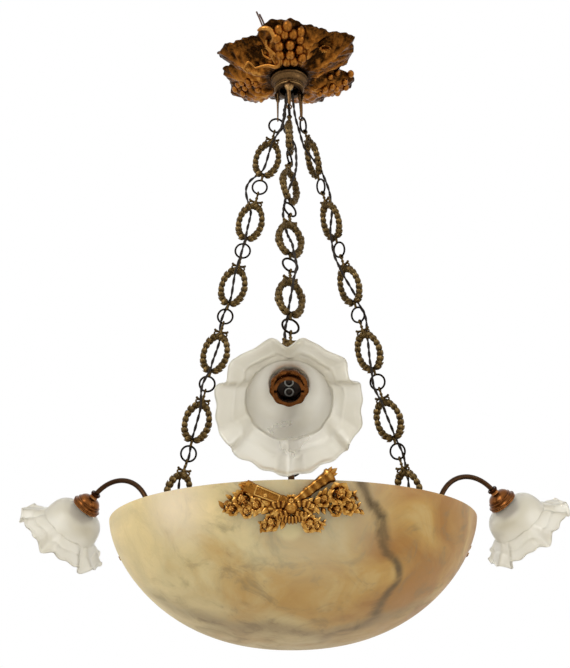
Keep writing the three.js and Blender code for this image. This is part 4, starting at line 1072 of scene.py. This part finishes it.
def distance(name, text, value):
    return FloatProperty(
        name=name, description=text, default=value * MM, min=0, unit="LENGTH", subtype="DISTANCE"
    )


class PendantFinishes(bpy.types.PropertyGroup):
    """Colours of the alabaster, the metals and the glass."""

    glass: tint("Etched glass", "Light part of the etched glass", 0xF6F2E6)
    glass_shade: tint("Etched glass, hazy", "Milkier part of the etched glass", 0xE8E2D0)
    clearness: FloatProperty(
        name="Glass clearness", description="Share of light that goes through the glass", default=0.72,
        min=0, max=1, subtype="FACTOR",
    )
    cream: tint("Alabaster, cream", "Yellow-cream side of the bowl", 0xE2CB92)
    pale: tint("Alabaster, pale", "Pale middle of the bowl", 0xC8B684)
    amber: tint("Alabaster, amber", "Warm clouds of the bowl", 0xB48E48)
    honey: tint("Alabaster, honey", "Honey side of the bowl", 0x9C6C26)
    smoke: tint("Alabaster, smoke", "Grey clouds of the bowl", 0x7C6C4A)
    vein: tint("Alabaster, vein", "Main vein of the bowl", 0x4E3A10)
    veil: tint("Alabaster, veil", "Cool pale cloud around the front mount", 0xC2BA9C)
    bloom: tint("Alabaster, bloom", "Pinkish bloom on the left of the bowl", 0xEADCC8)
    patch: tint("Alabaster, patch", "Pale patch below the front mount", 0xDACE9C)
    gilding: tint("Gilding", "Face of the rim mounts", 0xA06C2C)
    canopy: tint("Canopy gilding", "Face of the canopy", 0xA06426)
    chain: tint("Chain patina", "Face of the chains", 0x584628)
    copper: tint("Copper", "Face of the cups and lampholders", 0x865228)
    brass: tint("Brass", "Face of the crown and its hooks", 0x745838)
    patina: tint("Arm patina", "Face of the arms, brackets and spider", 0x4C3420)
    steel: tint("Steel", "Face of the plated fixings", 0x8C8C88)
    # Painted shade: the colour mixed in towards the bowl's bottom, where shade falls.
    soot: tint("Alabaster, sooted", "Bottom of the bowl", 0x94743E)


class PendantSizes(bpy.types.PropertyGroup):
    """Sizes in metres, and lights, that a user would change."""

    bowl_radius: distance("Bowl radius", "Radius of the bowl's rim", BOWL_RADIUS)
    bowl_depth: distance("Bowl depth", "Depth of the bowl below its rim", BOWL_DEPTH)
    bowl_wall: distance("Bowl wall", "Thickness of the alabaster", 12)
    petal_swell: distance("Petal swell", "How far the shade's petals stand out from its mean edge", 5)
    petal_droop: distance("Petal droop", "How far the petals fold back", 9)
    glass_wall: distance("Glass wall", "Thickness of the shades", 2.6)
    strand: distance("Flex strand", "Radius of one strand of the twin flex", 1.05)
    twist: distance("Flex twist", "Length of one turn of the strands", 26)
    key_power: FloatProperty(name="Key light", description="Power of the key light", default=26, unit="POWER")
    fill_power: FloatProperty(
        name="Fill light", description="Power of the fill light", default=10, unit="POWER"
    )
    ambient: FloatProperty(
        name="Ambient", description="Strength of the surrounding light", default=0.85, min=0
    )


def finishes():
    return bpy.context.scene.pendant_finishes


def sizes():
    return bpy.context.scene.pendant_sizes


# Operators, one for each piece or group of like pieces

class PENDANT_OT_stage(bpy.types.Operator):
    """Sets the camera of the photograph, soft lights, and a floor and surround that look white."""

    bl_idname = "pendant.stage"
    bl_label = "Stage"

    def execute(self, context):
        self.camera(context.scene)
        self.lights(context.scene)
        self.floor(context.scene)
        self.surround(context.scene)
        context.scene.view_settings.view_transform = "Standard"
        return {"FINISHED"}

    def camera(self, scene):
        """Places the camera by its yaw, pitch and roll; its matrix has right, up and back as columns."""
        yaw, pitch, roll = -0.008, 0.388, -0.009
        forward = np.array([np.sin(yaw) * np.cos(pitch), np.cos(yaw) * np.cos(pitch), np.sin(pitch)])
        level = np.array([np.cos(yaw), -np.sin(yaw), 0])
        upright = np.cross(level, forward)
        right = np.cos(roll) * level + np.sin(roll) * upright
        up = np.cos(roll) * upright - np.sin(roll) * level
        matrix = np.eye(4)
        matrix[:3, :3] = np.stack([right, up, -forward], -1)
        matrix[:3, 3] = (0.0096, -1.2116, -0.9004)
        data = bpy.data.cameras.new("camera")
        data.lens = 56.83
        data.sensor_width = 36
        data.sensor_fit = "AUTO"
        data.shift_x = -0.00958
        data.shift_y = 0.00075
        made = bpy.data.objects.new("camera", data)
        made.matrix_world = Matrix(matrix.tolist())
        scene.collection.objects.link(made)
        scene.camera = made

    def lights(self, scene):
        """Two area lights that face the pendant's middle."""
        middle = np.array([0, 0, -0.5])
        for name, place, power, width in (
            ("key_light", (-1.3, -2.0, 0.7), sizes().key_power, 1.6),
            ("fill_light", (1.9, -1.2, -0.2), sizes().fill_power, 1.8),
        ):
            data = bpy.data.lights.new(name, "AREA")
            data.energy = power
            data.size = width
            made = bpy.data.objects.new(name, data)
            back = unit(np.array(place) - middle)
            side = unit(np.cross([0, 0, 1.0], back))
            facing = Matrix(np.stack([side, np.cross(back, side), back], -1).tolist())
            made.matrix_world = Matrix.Translation(place) @ facing.to_4x4()
            scene.collection.objects.link(made)

    def floor(self, scene):
        """A wide matt floor below the pendant, pure white where the camera looks at it."""
        half = 40.0
        mesh = bpy.data.meshes.new("floor")
        corners = [(-half, -half, -1.6), (half, -half, -1.6), (half, half, -1.6), (-half, half, -1.6)]
        mesh.from_pydata(corners, [], [(0, 1, 2, 3)])
        material, tree, _ = fresh("white_floor", {"Base Color": linear(0xEAE8E4), "Roughness": 0.9})
        both = node(tree, "MixShader", inputs={
            0: node(tree, "LightPath")["Is Camera Ray"],
            1: tree.nodes["Principled BSDF"].outputs[0],
            2: node(tree, "Emission", inputs={"Strength": 1.0})[0],
        })
        tree.links.new(both[0], tree.nodes["Material Output"].inputs["Surface"])
        mesh.materials.append(material)
        made = bpy.data.objects.new("floor", mesh)
        scene.collection.objects.link(made)

    def surround(self, scene):
        """White where the camera, a gloss or a glass looks at it, and a soft level light elsewhere."""
        world = bpy.data.worlds.new("surround")
        world.use_nodes = True
        tree = world.node_tree
        tree.nodes.clear()
        ray = node(tree, "LightPath")
        seen = node(tree, "Math", {"operation": "ADD"}, {0: ray["Is Camera Ray"], 1: ray["Is Glossy Ray"]})[0]
        through = node(tree, "Math", {"operation": "ADD", "use_clamp": True}, {
            0: seen, 1: ray["Is Transmission Ray"],
        })[0]
        soft = node(tree, "Background", inputs={"Color": linear(0xFFFDF8), "Strength": sizes().ambient})[0]
        white = node(tree, "Background", inputs={"Color": (1, 1, 1, 1), "Strength": 1.0})[0]
        both = node(tree, "MixShader", inputs={0: through, 1: soft, 2: white})[0]
        node(tree, "OutputWorld", inputs={"Surface": both})
        scene.world = world


class PENDANT_OT_supply_wires(bpy.types.Operator):
    """Makes the two rubber-covered supply tails that rise past the ceiling plane."""

    bl_idname = "pendant.supply_wires"
    bl_label = "Supply wires"

    def execute(self, context):
        for letter, route in SUPPLY_ROUTES.items():
            path = spline(route, 36)
            form = tube(path, 1.2, 12, (1, 0, 0))
            name = f"supply_wire_{letter}"
            piece = put(f"{name}_rubber", form, rubber_covered_wire, "ceiling_fixing", [name])
        return {"FINISHED"}


class PENDANT_OT_ceiling_fixings(bpy.types.Operator):
    """Finishes the bar, hanging loop, suspension tube, nut and terminal block above the canopy."""

    bl_idname = "pendant.ceiling_fixings"
    bl_label = "Ceiling fixings"

    def execute(self, context):
        dress(["ceiling_bar", "hanging_loop", "suspension_tube", "crown_nut"], zinc_plated_steel)
        dress(["terminal_block"], glazed_porcelain)
        return {"FINISHED"}


class PENDANT_OT_canopy(bpy.types.Operator):
    """Makes the vine-leaf canopy casting with its grapes, tendrils and flower."""

    bl_idname = "pendant.canopy"
    bl_label = "Canopy"

    def execute(self, context):
        form = canopy_form()
        put("canopy_casting", form, aged_gilt_casting, "ceiling_fixing", ["canopy"], 60)
        return {"FINISHED"}


class PENDANT_OT_crown(bpy.types.Operator):
    """Makes the moulded crown cap with its three strap hooks."""

    bl_idname = "pendant.crown"
    bl_label = "Crown cap"

    def execute(self, context):
        put("crown_cap_cast", crown_form(), tarnished_brass, "crown", ["crown_cap"])
        return {"FINISHED"}


class PENDANT_OT_chains(bpy.types.Operator):
    """Makes the three chains: top rings, laurel wreath links, and the twin flex laced through them."""

    bl_idname = "pendant.chains"
    bl_label = "Chains"

    def execute(self, context):
        base = wreath_form()
        for side in AZIMUTHS:
            self.links(side, base)
            strands = (sizes().strand / MM, sizes().twist / MM, 0.8)
            flex = twisted(flex_path(side, 620), *strands, (1, 0, 0)).at(chain(side))
            put(f"{side}_flex_twisted", flex, cotton_flex, f"{side}_chain", [f"{side}_flex"])
        return {"FINISHED"}

    def links(self, side, base):
        """The first ring, and six wreaths with their rings; the last ring's wire is thinner for its lug."""
        rings, turns, body = ring_turns(side), CHAIN_TURNS[side], f"{side}_chain"
        below = chain(side) @ shift(0, 0, -FIRST_RING_DROP)
        top = hoop(RING_RADIUS, 1.35).at(below @ turn("Z", rings[0]))
        put(f"{side}_top_ring_wire", top, patinated_chain_bronze, body, [f"{side}_top_ring"])
        for k in range(6):
            wire = 1.0 if k == 5 else 1.3
            form = link_form(base, rings[k] - turns[k], rings[k + 1] - turns[k], wire)
            link = form.at(below @ shift(0, 0, -k * CHAIN_PITCH) @ turn("Z", turns[k]))
            name = f"{side}_wreath_link_{k + 1}"
            put(f"{name}_cast", link, patinated_chain_bronze, body, [name])


class PENDANT_OT_bowl(bpy.types.Operator):
    """Makes the turned alabaster bowl, and finishes the spider and the brackets inside it."""

    bl_idname = "pendant.bowl"
    bl_label = "Bowl"

    def execute(self, context):
        size = sizes()
        form = bowl_form(size.bowl_radius / MM, size.bowl_depth / MM, size.bowl_wall / MM)
        form = form.at(shift(0, 0, -RIM_DROP))
        put("bowl_turned", form, veined_alabaster, "bowl_group", ["bowl"])
        dress(["spider", *[f"{side}_bracket" for side in AZIMUTHS]], dark_patinated_bronze)
        return {"FINISHED"}


class PENDANT_OT_rim_mounts(bpy.types.Operator):
    """Makes the three gilt mounts on the rim: torch, quiver, garlands, roses and ribbon."""

    bl_idname = "pendant.rim_mounts"
    bl_label = "Rim mounts"

    def execute(self, context):
        base = mount_form()
        for side in AZIMUTHS:
            name = f"{side}_rim_mount"
            put(f"{name}_cast", base.at(rim(side)), fire_gilt_bronze, "bowl_group", [name], 60)
        return {"FINISHED"}


class PENDANT_OT_arms(bpy.types.Operator):
    """Makes the arms with their cups, lampholders and shade rings, the bowl's lampholder, and the leads."""

    bl_idname = "pendant.arms"
    bl_label = "Arms and lampholders"

    def execute(self, context):
        arm, cup, holder, ring = arm_form(), cup_form(), holder_form(4.1), ring_form()
        for side in AZIMUTHS:
            place = lamp(side)
            self.add(f"{side}_arm", "tube", arm.at(rim(side)), dark_patinated_bronze, "dark_bronze", 48)
            self.add(f"{side}_gallery_cup", "spun", cup.at(place), spun_copper, "copper_bronze")
            self.add(f"{side}_lampholder", "barrel", holder.at(place), spun_copper, "copper_bronze")
            self.contacts(side, place)
            self.lead(side)
        upright = shift(0, 0, -RIM_DROP + SPIDER_TOP + 0.3 - 2.7)
        self.add("bowl_lampholder", "barrel", holder_form(1.9).at(upright), spun_copper, "copper_bronze")
        self.contacts("bowl", upright)
        for side in AZIMUTHS:
            name, body = f"{side}_shade_ring", f"{side}_ring"
            put(f"{name}_turned", ring.at(lamp(side)), spun_copper, body, [name], 40)
        return {"FINISHED"}

    def add(self, name, making, form, maker, slot, sharp=40):
        """A piece that rides on the bowl's body, in place of the frame's node of that name."""
        put(f"{name}_{making}", form, maker, "bowl_group", [name], sharp)

    def contacts(self, name, place):
        """The insulator and the two contacts inside a lampholder."""
        floor, sleeves = contact_form()
        put(f"{name}_insulator", floor.at(place), smoked_insulator, "bowl_group")
        put(f"{name}_contacts", sleeves.at(place), zinc_plated_steel, "bowl_group")

    def lead(self, side):
        """The lead drops from the gland to the spider's arm and lies along it to the lampholder."""
        lie = SPIDER_TOP + 1.4 + 0.6
        path = spline([
            [173, 0, -25.3], [173, 0, -27.8], [170.2, 0, lie + 1.4], [163, 0, lie], [138.4, 0, lie],
            [86.5, 0, lie], [19.9, 0, lie], [9.9, 0, lie],
        ], 170)
        form = twisted(path, 0.7, 12, 0.7, (0, 1, 0)).at(rim(side))
        self.add(f"{side}_lead", "twisted", form, cotton_flex, "flex_cover", 48)


class PENDANT_OT_shades(bpy.types.Operator):
    """Makes the three ruffled shades of etched glass."""

    bl_idname = "pendant.shades"
    bl_label = "Shades"

    def execute(self, context):
        size = sizes()
        base = shade_form(size.petal_swell / MM, size.petal_droop / MM, size.glass_wall / MM)
        for side in AZIMUTHS:
            name = f"{side}_shade"
            put(f"{name}_glass", base.at(lamp(side)), etched_glass, "bowl_group", [name], 70)
        return {"FINISHED"}


STEPS = (
    PENDANT_OT_stage, PENDANT_OT_supply_wires, PENDANT_OT_ceiling_fixings, PENDANT_OT_canopy,
    PENDANT_OT_crown, PENDANT_OT_chains, PENDANT_OT_bowl, PENDANT_OT_rim_mounts, PENDANT_OT_arms,
    PENDANT_OT_shades,
)


class PENDANT_PT_panel(bpy.types.Panel):
    """Lists the pendant's pieces in the sidebar."""

    bl_idname = "PENDANT_PT_panel"
    bl_label = "Alabaster bowl pendant"
    bl_space_type = "VIEW_3D"
    bl_region_type = "UI"
    bl_category = "Pendant"

    def draw(self, context):
        for step in STEPS:
            self.layout.operator(step.bl_idname)
        for group in (context.scene.pendant_sizes, context.scene.pendant_finishes):
            for name in type(group).__annotations__:
                self.layout.prop(group, name)


CLASSES = (PendantFinishes, PendantSizes, *STEPS, PENDANT_PT_panel)


def register():
    for kind in CLASSES:
        bpy.utils.register_class(kind)
    bpy.types.Scene.pendant_finishes = PointerProperty(type=PendantFinishes)
    bpy.types.Scene.pendant_sizes = PointerProperty(type=PendantSizes)


def unregister():
    del bpy.types.Scene.pendant_sizes
    del bpy.types.Scene.pendant_finishes
    for kind in reversed(CLASSES):
        bpy.utils.unregister_class(kind)


def main():
    register()
    bpy.ops.pendant.stage()
    bpy.ops.pendant.supply_wires()
    bpy.ops.pendant.ceiling_fixings()
    bpy.ops.pendant.canopy()
    bpy.ops.pendant.crown()
    bpy.ops.pendant.chains()
    bpy.ops.pendant.bowl()
    bpy.ops.pendant.rim_mounts()
    bpy.ops.pendant.arms()
    bpy.ops.pendant.shades()


if __name__ == "__main__":
    main()
